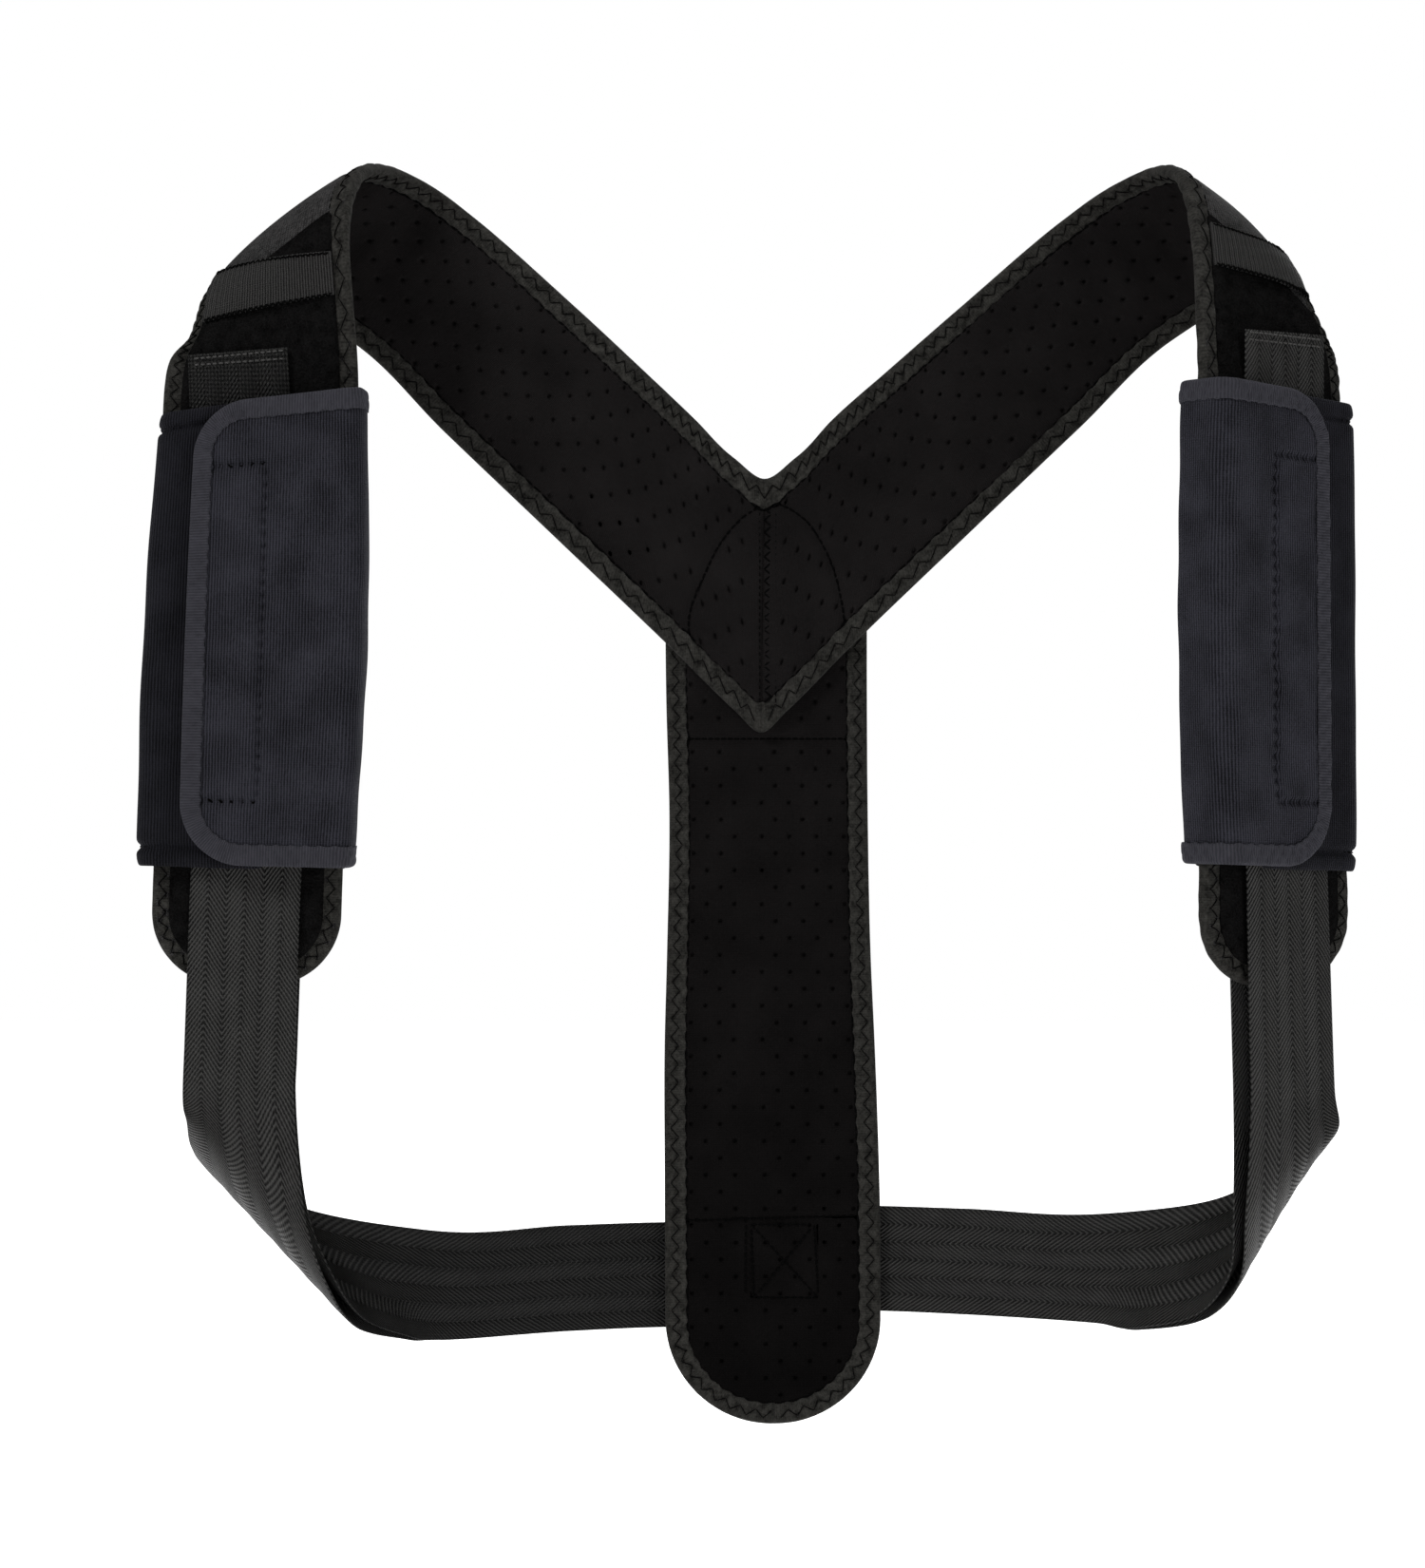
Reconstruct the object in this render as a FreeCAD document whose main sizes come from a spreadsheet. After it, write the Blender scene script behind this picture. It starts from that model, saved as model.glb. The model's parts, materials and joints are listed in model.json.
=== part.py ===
import FreeCAD, Part
import math
import os
import Sketcher

# Posture brace, upright as worn.  +Z is up, +X is the wearer's left and the wearer faces -Y.
# The origin is on the skin face of the spine panel.  Left and right are the wearer's.

Vector = FreeCAD.Vector
UP = Vector(0, 0, 1)
doc = FreeCAD.newDocument("back_brace")

DIMENSIONS = [
    # spine panel
    ("spine_top", 168.0),
    ("spine_bottom", -167.0),
    ("spine_top_half", 36.8),
    ("spine_bottom_half", 38.8),
    ("spine_top_round", 34.0),
    ("spine_end_flat", 0.6),
    ("seam_height", 82.0),
    ("seam_gap", 0.2),
    # padded sheet: skin lining, foam core and outer shell, its cut edge bound with folded tape
    ("core_depth", 3.0),
    ("skin_depth", 1.2),
    ("tape_width", 7.6),
    ("tape_wall", 0.8),
    ("tape_depth", 1.0),
    ("tape_gap", 0.2),
    # shoulder arms: a back leg, a turn over the shoulder and a flat front leg
    ("arm_width", 65.6),
    ("arm_back_gap", 0.2),
    ("arm_seam_gap", 0.2),
    ("front_setback", 70.0),
    ("front_top", 210.0),
    ("front_length", 214.0),
    ("front_round", 25.0),
    ("right_front_x", 175.5),
    ("right_lean", 1.6),
    ("right_yaw", 0.0),
    ("left_front_x", 172.5),
    ("left_lean", 0.5),
    ("left_yaw", 37.0),
    # hook and loop on the front legs
    ("loop_margin", 1.0),
    ("loop_depth", 0.9),
    ("loop_end", 188.0),
    ("hook_margin", 2.0),
    ("hook_depth", 0.8),
    ("strap_hook_length", 110.0),
    ("part_gap", 0.3),
    # webbing
    ("web_width", 38.0),
    ("web_depth", 1.2),
    ("web_leg_end", 251.0),
    ("web_rise", 59.6),
    ("rear_web_start", 179.0),
    ("web_centre_gap", 0.4),
    ("right_run_drop", 6.0),
    ("left_run_drop", 0.0),
    # strap tab above each pad
    ("tab_margin", 1.5),
    ("tab_length", 13.6),
    ("tab_line", 7.2),
    ("tab_clearance", 1.4),
    # keeper band on each shoulder
    ("keeper_depth", 1.0),
    ("keeper_margin", 4.0),
    # armpit pads
    ("pad_start", 9.0),
    ("pad_length", 164.0),
    ("pad_bore_clearance", 0.8),
    ("right_pad_side", 6.2),
    ("left_pad_side", 2.9),
    ("pad_bore_front", 7.4),
    ("pad_bore_back", 5.2),
    ("pad_wall", 3.0),
    ("pad_round", 4.0),
    ("pad_lap_margin", 1.8),
    ("flap_depth", 3.2),
    ("flap_reach", 60.4),
    ("flap_round", 18.0),
    ("flap_hinge_gap", 0.7),
    ("grip_width", 20.0),
    ("grip_length", 118.0),
    ("grip_margin", 0.2),
    # strap sleeve on the outer face of the spine panel
    ("sleeve_half", 30.0),
    ("sleeve_margin", 7.0),
    ("sleeve_bar", 5.0),
    ("sleeve_depth", 1.2),
    ("sleeve_clearance", 0.3),
]

dims = doc.addObject("Spreadsheet::Sheet", "dims")
for row, (alias, value) in enumerate(DIMENSIONS, start=1):
    dims.set("A%d" % row, alias)
    dims.set("B%d" % row, str(value))
    dims.setAlias("B%d" % row, alias)
doc.recompute()

nodes = []


def size(alias):
    """A driving dimension in millimetres or degrees."""
    return float(dims.get(alias))


def keep(item, label):
    """Name an object and count it as a piece of the brace."""
    item.Label = label
    nodes.append(item)
    return item


# ---- pieces cut from a flat outline -----------------------------------------------------

def origin_plane(body, role):
    for feature in body.Origin.OriginFeatures:
        if feature.Role == role:
            return feature
    raise RuntimeError("the body has no plane " + role)


def outline_sketch(body, role, corners, level):
    """Closed outline on one of the body's own planes; a corner is a pair of expressions."""
    sketch = body.newObject("Sketcher::SketchObject", "Outline")
    sketch.AttachmentSupport = [(origin_plane(body, role), "")]
    sketch.MapMode = "FlatFace"
    sketch.setExpression("AttachmentOffset.Base.z", level)
    count = len(corners)
    turn = 2 * math.pi / count
    spots = [Vector(math.cos(turn * i), math.sin(turn * i), 0) * 10 for i in range(count)]
    for i in range(count):
        sketch.addGeometry(Part.LineSegment(spots[i], spots[(i + 1) % count]), False)
    for i in range(count):
        sketch.addConstraint(Sketcher.Constraint("Coincident", i, 2, (i + 1) % count, 1))
    for i, corner in enumerate(corners):
        starts = (spots[i].x, spots[i].y)
        for kind, start, expression in zip(("DistanceX", "DistanceY"), starts, corner):
            index = sketch.addConstraint(Sketcher.Constraint(kind, -1, 1, i, 1, start))
            name = "corner_%d_%s" % (i, kind[-1])
            sketch.renameConstraint(index, name)
            sketch.setExpression("Constraints." + name, expression)
    return sketch


def panel(name, corners, front, depth, placement=None):
    """Outline in X and Z, with its front face at Y = front and its depth towards +Y."""
    body = doc.addObject("PartDesign::Body", name)
    sketch = outline_sketch(body, "XZ_Plane", corners, "-1 * (%s)" % front)
    pad = body.newObject("PartDesign::Pad", "Thickness")
    pad.Profile = sketch
    pad.Reversed = True
    pad.setExpression("Length", depth)
    if placement:
        body.Placement = placement
    doc.recompute()
    return body


def column(name, corners, foot, length, placement):
    """Outline in X and Y, standing from Z = foot up to foot + length."""
    body = doc.addObject("PartDesign::Body", name)
    sketch = outline_sketch(body, "XY_Plane", corners, foot)
    pad = body.newObject("PartDesign::Pad", "Length")
    pad.Profile = sketch
    pad.setExpression("Length", length)
    body.Placement = placement
    doc.recompute()
    return body


def pocket(body, corners, foot, length):
    """Cut an outline in X and Y upwards from Z = foot, and prove that it took material away."""
    before = body.Shape.Volume
    cut = body.newObject("PartDesign::Pocket", "Opening")
    cut.Profile = outline_sketch(body, "XY_Plane", corners, foot)
    cut.Reversed = True
    cut.setExpression("Length", length)
    doc.recompute()
    if body.Shape.Volume > before - 1:
        raise RuntimeError(body.Name + ": the opening cuts nothing")


def round_corners(body, along, radius, wanted):
    """Fillet the straight edges along one direction whose middle passes the test."""
    base = body.Tip
    chosen = []
    for number, edge in enumerate(base.Shape.Edges, start=1):
        if abs(edge.tangentAt(edge.FirstParameter).dot(along)) > 0.99 and wanted(edge.CenterOfMass):
            chosen.append("Edge%d" % number)
    fillet = body.newObject("PartDesign::Fillet", "Rounding")
    fillet.Base = (base, chosen)
    fillet.setExpression("Radius", radius)
    doc.recompute()


def box_corners(left, right, low, high):
    return [(left, low), (right, low), (right, high), (left, high)]


def boolean(kind, name, base, tool):
    item = doc.addObject("Part::" + kind, name)
    item.Base = base
    item.Tool = tool
    doc.recompute()
    return item


# ---- spine panel ----------------------------------------------------------------------

ALONG_Y = Vector(0, 1, 0)


def spine_half(height):
    """Half width of the spine panel, as an expression, at a height given as an expression."""
    return ("(dims.spine_bottom_half + (dims.spine_top_half - dims.spine_bottom_half)"
            " * (%s - dims.spine_bottom) / (dims.spine_top - dims.spine_bottom))" % height)


def spine_piece(name, inset, low, high, front, depth, round_low, round_high):
    """Part of the tapered spine outline, set in from its edge, with rounded ends."""
    low_half = "%s - %s" % (spine_half(low), inset)
    high_half = "%s - %s" % (spine_half(high), inset)
    corners = [("-1 * (%s)" % low_half, low), (low_half, low),
               (high_half, high), ("-1 * (%s)" % high_half, high)]
    body = panel(name, corners, front, depth)
    middle = body.Shape.BoundBox.Center.z
    if round_low:
        round_corners(body, ALONG_Y, "%s - dims.spine_end_flat" % low_half, lambda spot: spot.z < middle)
    if round_high:
        round_corners(body, ALONG_Y, "dims.spine_top_round - (%s)" % inset, lambda spot: spot.z > middle)
    return body


SHEET = "(dims.core_depth + 2 * dims.skin_depth)"
TAPE_INSET = "(dims.tape_width + dims.tape_gap)"
TAPE_FRONT = "(dims.skin_depth - dims.tape_depth)"
TAPE_DEPTH = "(dims.core_depth + 2 * dims.tape_depth)"


def make_spine():
    bottom = "dims.spine_bottom"
    top = "dims.spine_top"
    seam_low = "dims.seam_height - dims.seam_gap"
    seam_high = "dims.seam_height + dims.seam_gap"
    window_bottom = "(%s + %s)" % (bottom, TAPE_INSET)
    window_top = "(%s - %s)" % (top, TAPE_INSET)
    keep(spine_piece("SpineLiningLower", TAPE_INSET, window_bottom, seam_low,
                     "0", "dims.skin_depth", True, False), "spine_lining_lower")
    keep(spine_piece("SpineLiningUpper", TAPE_INSET, seam_high, window_top,
                     "0", "dims.skin_depth", False, True), "spine_lining_upper")
    keep(spine_piece("SpineShell", TAPE_INSET, window_bottom, window_top,
                     "dims.skin_depth + dims.core_depth", "dims.skin_depth", True, True), "spine_shell")
    wall = "dims.tape_wall"
    foam = keep(spine_piece("SpineFoam", wall, "(%s + %s)" % (bottom, wall), "(%s - %s)" % (top, wall),
                            "dims.skin_depth", "dims.core_depth", True, True), "spine_foam")
    blank = spine_piece("SpineTapeBlank", "0", bottom, top, TAPE_FRONT, TAPE_DEPTH, True, True)
    edge = "dims.tape_width"
    window = spine_piece("SpineTapeWindow", edge, "(%s + %s)" % (bottom, edge), "(%s - %s)" % (top, edge),
                         TAPE_FRONT, TAPE_DEPTH, True, True)
    ring = boolean("Cut", "SpineTapeRing", blank, foam)
    keep(boolean("Cut", "SpineTape", ring, window), "spine_binding")


def make_sleeve():
    """Fabric bridge sewn above and below the four strap ends."""
    inner = "(%s + dims.sleeve_clearance / 3)" % SHEET
    hollow = "(2 * dims.web_depth + 3 * dims.sleeve_clearance)"
    outer = "(%s + dims.sleeve_depth)" % hollow
    drop = "max(dims.right_run_drop; dims.left_run_drop)"
    opening = "(dims.web_width + %s + 2 * dims.sleeve_margin - 2 * dims.sleeve_bar)" % drop
    foot = "(dims.spine_bottom + dims.web_rise - %s - dims.web_width / 2 - dims.sleeve_margin)" % drop
    top = "%s + %s + 2 * dims.sleeve_bar" % (foot, opening)
    body = panel("Sleeve", box_corners("-1 * dims.sleeve_half", "dims.sleeve_half", foot, top), inner, outer)
    pocket(body,
           box_corners("-1 * dims.sleeve_half - 1", "dims.sleeve_half + 1", "%s - 1" % inner,
                       "%s + %s" % (inner, hollow)),
           "%s + dims.sleeve_bar" % foot, opening)
    keep(body, "strap_sleeve")


# ---- strips that turn in space ------------------------------------------------------------

class Station:
    """Cross line of a strip: its inner edge, its unit direction across, its stretch and its face."""

    def __init__(self, inner, outer, face, width):
        self.inner = inner
        self.across = (outer - inner).normalize()
        self.stretch = inner.distanceToPoint(outer) / width
        self.face = face

    def point(self, across, out):
        return self.inner + self.across * (across * self.stretch) + self.face * out


def face_directions(lines, sign):
    """Direction of a strip's outer face at each cross line, square to the strip's run."""
    middles = [(inner + outer) * 0.5 for inner, outer in lines]
    faces = []
    for i, (inner, outer) in enumerate(lines):
        run = middles[min(i + 1, len(lines) - 1)] - middles[max(i - 1, 0)]
        faces.append((run.cross(outer - inner) * sign).normalize())
    return faces


def loft(stations, profile):
    """Ruled solid through one closed profile, given as (across, out) pairs, at every station."""
    wires = []
    for station in stations:
        points = [station.point(across, out) for across, out in profile]
        wires.append(Part.makePolygon(points + points[:1]))
    solid = Part.makeLoft(wires, True, True)
    if solid.Volume < 0:
        solid.reverse()
    return solid


def feature(name, shape):
    item = doc.addObject("Part::Feature", name)
    item.Shape = shape
    return item


def slab(low, high, under, over):
    return [(low, under), (high, under), (high, over), (low, over)]


# ---- one side of the brace ------------------------------------------------------------------

# Cross lines of the arm from the centre seam over the shoulder, right side mirrored to +X:
# the neck edge, then the armpit edge, as they lie on an arm of this width.
ARM_LINE_WIDTH = 65.6
ARM_LINES = [
    ((0, -3, 176.4), (0, -3, 84.5)),
    ((71, -3, 240), (117, -3, 193)),
    ((105, -4, 270), (150, -4, 225)),
    ((121, -10, 281), (174, -9, 240)),
    ((132, -22, 285), (192, -21, 242)),
    ((139, -37, 284), (199, -37, 240)),
    ((144, -54, 277), (202, -54, 232)),
    ((146, -66, 262), (203, -66, 222)),
]

# Cross lines of the front strap's turn below the pad, inner edge then outer edge, in webbing of
# this width.
STRAP_LINE_WIDTH = 38.0
STRAP_TURNS = {
    "right": [
        ((159.4, -74, -90), (201.4, -74, -51.5)),
        ((151.6, -62, -114), (201.3, -62, -60.5)),
        ((145.6, -48, -124.5), (198.3, -48, -67.7)),
        ((129.4, -36, -125.4), (171, -40, -77)),
    ],
    "left": [
        ((162, -83, -82), (194, -59, -55)),
        ((162, -66, -107), (189, -50, -63)),
        ((153, -50, -121), (181, -42, -71)),
        ((131, -34, -126), (160, -36, -80)),
    ],
}

# Cross line where the strap's turn ends and its run to the spine panel starts, lower edge first,
# and the point on the way where the strap comes level with the panel's outer face.
RUN_START = ((118.5, -22, -127), (122, -22, -88))
RUN_BEND_X = 71.5
RUN_BEND_Y = -2.0

# How far the rear strap lies inside the front one, at each cross line of the turn and the run.
NEST_GAPS = [8.5, 6, 5, 4, 3, 2]


def placed_line(line, side, extra_width):
    """A cross line on its own side of the brace, both its ends moved out for a wider strip."""
    first, last = [Vector(point[0] * side, point[1], point[2]) for point in line]
    margin = (last - first).normalize() * (extra_width / 2)
    return (first - margin, last + margin)


def front_placement(name, side):
    """Frame of a front leg: X across, Y into the wearer, Z up, origin at its top."""
    turn = FreeCAD.Rotation(UP, side * size(name + "_yaw"))
    lean = FreeCAD.Rotation(Vector(0, 1, 0), -side * size(name + "_lean"))
    origin = Vector(side * size(name + "_front_x"), -size("front_setback"), size("front_top"))
    return FreeCAD.Placement(origin, turn * lean)


def front_station(frame, side, half, out, down):
    """Station of a strip that lies flat on the front leg."""
    inner = frame.multVec(Vector(-side * half, -out, -down))
    outer = frame.multVec(Vector(side * half, -out, -down))
    face = frame.Rotation.multVec(Vector(0, -1, 0))
    return Station(inner, outer, face, 2 * half)


def arm_stations(frame, side):
    width = size("arm_width")
    setback = size("arm_back_gap") + size("core_depth") / 2 + size("skin_depth")
    lines = []
    for number, line in enumerate(ARM_LINES):
        neck, armpit = placed_line(line, side, width - ARM_LINE_WIDTH)
        shift = Vector(0, 3 - setback, 0)
        if number == 0:
            shift.x = side * size("arm_seam_gap")
        lines.append((neck + shift, armpit + shift))
    top = front_station(frame, side, width / 2, 0, 0)
    lines.append((top.inner, top.point(width, 0)))
    faces = face_directions(lines, side)
    faces[0] = faces[1] = Vector(0, 1, 0)
    stations = [Station(inner, outer, face, width) for (inner, outer), face in zip(lines, faces)]
    stations[-1] = top
    return stations


def front_panel(name, frame, inset, rise, front, depth):
    """Flat part of a front leg, its lower end rounded, set in from the edge on three sides."""
    half = "(dims.arm_width / 2 - %s)" % inset
    corners = box_corners("-1 * " + half, half, "%s - dims.front_length" % inset, rise)
    body = panel(name, corners, front, depth, frame)
    middle = -size("front_length") / 2
    round_corners(body, ALONG_Y, "dims.front_round - %s" % inset, lambda spot: spot.z < middle)
    return body


def make_arm(name, side, frame):
    stations = arm_stations(frame, side)
    width = size("arm_width")
    core = size("core_depth") / 2
    skin = core + size("skin_depth")
    tape = core + size("tape_depth")
    wall = size("tape_wall")
    edge = size("tape_width")
    inset = edge + size("tape_gap")
    half_core = "dims.core_depth / 2"

    layers = [
        ("lining", slab(inset, width - inset, -skin, -core), TAPE_INSET, half_core, "dims.skin_depth"),
        ("foam", slab(wall, width - wall, -core, core), "dims.tape_wall",
         "-1 * " + half_core, "dims.core_depth"),
        ("shell", slab(inset, width - inset, core, skin), TAPE_INSET,
         "-1 * (%s + dims.skin_depth)" % half_core, "dims.skin_depth"),
    ]
    for layer, profile, margin, front, depth in layers:
        upper = feature("%s_%s_upper" % (name, layer), loft(stations, profile))
        lower = front_panel("%s_%s_front" % (name, layer), frame, margin, "0", front, depth)
        keep(boolean("Fuse", "%s_%s" % (name, layer), upper, lower), "%s_arm_%s" % (name, layer))

    tape_front = "-1 * (%s + dims.tape_depth)" % half_core
    blank = front_panel(name + "_tape_blank", frame, "0", "0", tape_front, TAPE_DEPTH)
    window = front_panel(name + "_tape_window", frame, "dims.tape_width", "1", tape_front, TAPE_DEPTH)
    core_tool = front_panel(name + "_core_tool", frame, "dims.tape_wall", "1",
                            "-1 * " + half_core, "dims.core_depth")
    opened = boolean("Cut", name + "_tape_open", blank, window)
    ring = boolean("Cut", name + "_tape_ring", opened, core_tool)
    neck_fold = [(edge, -tape), (0, -tape), (0, tape), (edge, tape),
                 (edge, core), (wall, core), (wall, -core), (edge, -core)]
    armpit_fold = [(width - across, out) for across, out in neck_fold]
    folds = loft(stations, neck_fold).fuse(loft(stations, armpit_fold))
    keep(boolean("Fuse", name + "_tape", feature(name + "_tape_upper", folds), ring), name + "_arm_binding")
    return stations


def between(first, second, share, width):
    """Station part of the way from one station to the next, on the same ruled surface."""
    inner = first.point(0, 0) * (1 - share) + second.point(0, 0) * share
    outer = first.point(width, 0) * (1 - share) + second.point(width, 0) * share
    face = first.face * (1 - share) + second.face * share
    return Station(inner, outer, face, width)


def make_keeper(name, stations):
    """Elastic band across the top of the front leg, under which the strap's end can be tucked."""
    width = size("arm_width")
    margin = size("keeper_margin")
    skin = size("core_depth") / 2 + size("skin_depth")
    band = [between(stations[-3], stations[-2], 0.3, width), stations[-2],
            between(stations[-2], stations[-1], 0.35, width)]
    profile = slab(margin, width - margin, skin, skin + size("keeper_depth"))
    keep(feature(name + "_keeper_band", loft(band, profile)), name + "_keeper")


def webbing(lines, faces):
    """Strap of even thickness through its cross lines."""
    half = size("web_depth") / 2
    width = size("web_width")
    stations = [Station(inner, outer, face, width) for (inner, outer), face in zip(lines, faces)]
    return loft(stations, slab(0, width, -half, half))


def make_straps(name, side, frame):
    """Front strap from the tab to the spine, and the rear strap nested behind it."""
    half = size("web_width") / 2
    drop = size(name + "_run_drop")
    web = size("web_depth")
    gap = size("sleeve_clearance")
    sheet = size("core_depth") + 2 * size("skin_depth")
    shell = size("core_depth") / 2 + size("skin_depth")

    def flat(out, down):
        station = front_station(frame, side, half, out, down)
        return (station.inner, station.point(2 * half, 0))

    front_out = shell + size("loop_depth") + size("part_gap") + size("hook_depth") + web / 2
    start = size("tab_line") + size("tab_clearance")
    leg_end = size("web_leg_end")
    extra = 2 * half - STRAP_LINE_WIDTH
    turn = [placed_line(line, side, extra) for line in STRAP_TURNS[name]]
    fall = Vector(0, 0, -drop)
    low, high = placed_line(RUN_START, side, extra)
    run = [(low + fall, high + fall)]
    rear_depth = sheet + gap + 1.5 * web + gap
    spine_edge = size("spine_bottom_half") + gap + web
    level = size("spine_bottom") + size("web_rise") - drop
    for reach, depth in ((RUN_BEND_X, RUN_BEND_Y), (spine_edge, rear_depth),
                         (size("web_centre_gap") / 2, rear_depth)):
        run.append((Vector(side * reach, depth, level - half), Vector(side * reach, depth, level + half)))

    lines = [flat(front_out, start), flat(front_out, leg_end)] + turn + run
    faces = face_directions(lines, side)
    leg_face = frame.Rotation.multVec(Vector(0, -1, 0))
    faces[0] = faces[1] = leg_face
    faces[-1] = faces[-2] = Vector(0, 1, 0)
    keep(feature(name + "_front_web", webbing(lines, faces)), name + "_strap_front")

    gaps = NEST_GAPS + [web + gap, web + gap]
    rear_out = -(shell + web / 2 + size("tape_gap"))
    rear_lines = [flat(rear_out, size("rear_web_start")), flat(rear_out, leg_end)]
    for (inner, outer), face, nest in zip(lines[2:], faces[2:], gaps):
        rear_lines.append((inner - face * nest, outer - face * nest))
    rear_faces = [leg_face, leg_face] + faces[2:]
    keep(feature(name + "_rear_web", webbing(rear_lines, rear_faces)), name + "_strap_rear")


SHELL_FACE = "(dims.core_depth / 2 + dims.skin_depth)"
LOOP_FACE = "(%s + dims.loop_depth)" % SHELL_FACE
HOOK_FACE = "(%s + dims.part_gap)" % LOOP_FACE
WEB_FACE = "(%s + dims.hook_depth)" % HOOK_FACE


def laid_out(face, depth):
    """Front level of a layer that stands on a face of the front leg."""
    return "-1 * (%s + %s)" % (face, depth)


def make_front_layers(name, frame):
    """Loop patch on the shell, hook under the strap, and the strap tab with its own hook."""
    loop_half = "(dims.arm_width / 2 - %s - dims.loop_margin)" % TAPE_INSET
    loop = panel(name + "_loop", box_corners("-1 * " + loop_half, loop_half, "-1 * dims.loop_end", "0"),
                 laid_out(SHELL_FACE, "dims.loop_depth"), "dims.loop_depth", frame)
    keep(loop, name + "_loop_patch")
    strap_top = "-1 * (dims.tab_line + dims.tab_clearance)"
    hook_half = "(dims.web_width / 2 - dims.hook_margin)"
    hook = panel(name + "_hook",
                 box_corners("-1 * " + hook_half, hook_half,
                             "%s - dims.strap_hook_length" % strap_top, strap_top),
                 laid_out(LOOP_FACE, "dims.hook_depth + dims.part_gap"),
                 "dims.hook_depth + dims.part_gap", frame)
    keep(hook, name + "_strap_hook")
    tab_low = "-1 * dims.tab_line"
    tab_high = "dims.tab_length - dims.tab_line"
    tab_half = "(dims.web_width / 2 - dims.tab_margin)"
    tab = panel(name + "_tab", box_corners("-1 * " + tab_half, tab_half, tab_low, tab_high),
                laid_out(WEB_FACE, "dims.web_depth"), "dims.web_depth", frame)
    keep(tab, name + "_strap_tab")
    tab_hook = panel(name + "_tab_hook",
                     box_corners("-1 * " + hook_half, hook_half, tab_low, "-1 * dims.part_gap"),
                     laid_out(HOOK_FACE, "dims.hook_depth"), "dims.hook_depth", frame)
    keep(tab_hook, name + "_tab_hook")


def make_pad(name, side, frame):
    """Padded sleeve round the front leg, closed by a flap that hinges on the inner edge."""
    bore = "(dims.arm_width / 2 + dims.pad_bore_clearance)"
    half = "(%s + dims.%s_pad_side)" % (bore, name)
    inner = "%d * %s" % (-side, half)
    outer = "%d * %s" % (side, half)
    foot = "-1 * (dims.pad_start + dims.pad_length)"
    front = "-1 * (dims.pad_bore_front + dims.pad_wall)"
    back = "dims.pad_bore_back + dims.pad_wall"
    bore_inner = "%d * %s" % (-side, bore)
    fold = "%s + %d * dims.flap_hinge_gap" % (inner, side)
    free = "%s + %d * dims.flap_reach" % (inner, side)
    rim = "%s - %d * dims.tape_width" % (free, side)
    grip_far = "%s - %d * dims.grip_margin" % (rim, side)
    grip_near = "%s - %d * dims.grip_width" % (grip_far, side)
    lap = "%s - %d * dims.pad_lap_margin" % (grip_near, side)

    wrap = column(name + "_wrap", box_corners(inner, outer, front, back), foot, "dims.pad_length", frame)
    round_corners(wrap, UP, "dims.pad_round", lambda spot: True)
    pocket(wrap, box_corners("-1 * " + bore, bore, "-1 * dims.pad_bore_front", "dims.pad_bore_back"),
           foot, "dims.pad_length")
    pocket(wrap, box_corners(bore_inner, lap, "%s - 1" % front, "0"), foot, "dims.pad_length")
    keep(wrap, name + "_pad_wrap")

    grip_low = "%s + (dims.pad_length - dims.grip_length) / 2" % foot
    grip_high = "%s + (dims.pad_length + dims.grip_length) / 2" % foot
    grip = box_corners(grip_near, grip_far, grip_low, grip_high)
    wrap_face = "(dims.pad_bore_front + dims.pad_wall)"
    fleece = panel(name + "_grip_loop", grip, laid_out(wrap_face, "dims.hook_depth"),
                   "dims.hook_depth", frame)
    keep(fleece, name + "_pad_loop")
    hook_face = "(%s + dims.hook_depth + dims.part_gap)" % wrap_face
    hook = panel(name + "_grip_hook", grip, laid_out(hook_face, "dims.hook_depth"),
                 "dims.hook_depth", frame)
    keep(hook, name + "_pad_hook")

    flap_face = "(%s + dims.hook_depth)" % hook_face
    tip = "%s - %d * dims.tape_wall" % (free, side)
    top = "-1 * dims.pad_start"
    past_fold = "%s - %d" % (fold, side)

    def flap_piece(label, edge, inset, rise, fall, radius):
        """Flap outline whose free corners are rounded; the depth grows both ways by rise and fall."""
        body = panel(label,
                     box_corners(past_fold if inset == "dims.tape_width" else fold, edge,
                                 "%s + %s" % (foot, inset), "%s - %s" % (top, inset)),
                     laid_out(flap_face, "dims.flap_depth + " + rise),
                     "dims.flap_depth + %s + %s" % (rise, fall), frame)
        round_corners(body, ALONG_Y, radius, lambda spot: spot.x * side > 0)
        return body

    flap = flap_piece(name + "_flap", tip, "dims.tape_wall", "0", "0", "dims.flap_round - dims.tape_wall")
    keep(flap, name + "_pad_flap")
    blank = flap_piece(name + "_flap_blank", free, "0", "dims.tape_wall", "dims.tape_wall",
                       "dims.flap_round")
    window = flap_piece(name + "_flap_window", rim, "dims.tape_width", "dims.tape_wall", "dims.tape_wall",
                        "dims.flap_round - dims.tape_width")
    opened = boolean("Cut", name + "_flap_open", blank, window)
    frame_cut = boolean("Cut", name + "_flap_frame", opened, flap)
    keep(frame_cut, name + "_pad_binding")


make_spine()
make_sleeve()
for side_name, side_sign in (("right", -1), ("left", 1)):
    leg_frame = front_placement(side_name, side_sign)
    arm = make_arm(side_name, side_sign, leg_frame)
    make_keeper(side_name, arm)
    make_straps(side_name, side_sign, leg_frame)
    make_front_layers(side_name, leg_frame)
    make_pad(side_name, side_sign, leg_frame)

doc.recompute()
for item in doc.Objects:
    if "Invalid" in item.State or "Error" in item.State:
        raise RuntimeError(item.Label + " failed: " + str(item.State))
for node in nodes:
    if node.Shape.isNull() or not node.Shape.isValid():
        raise RuntimeError(node.Label + " has no valid shape")

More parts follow.
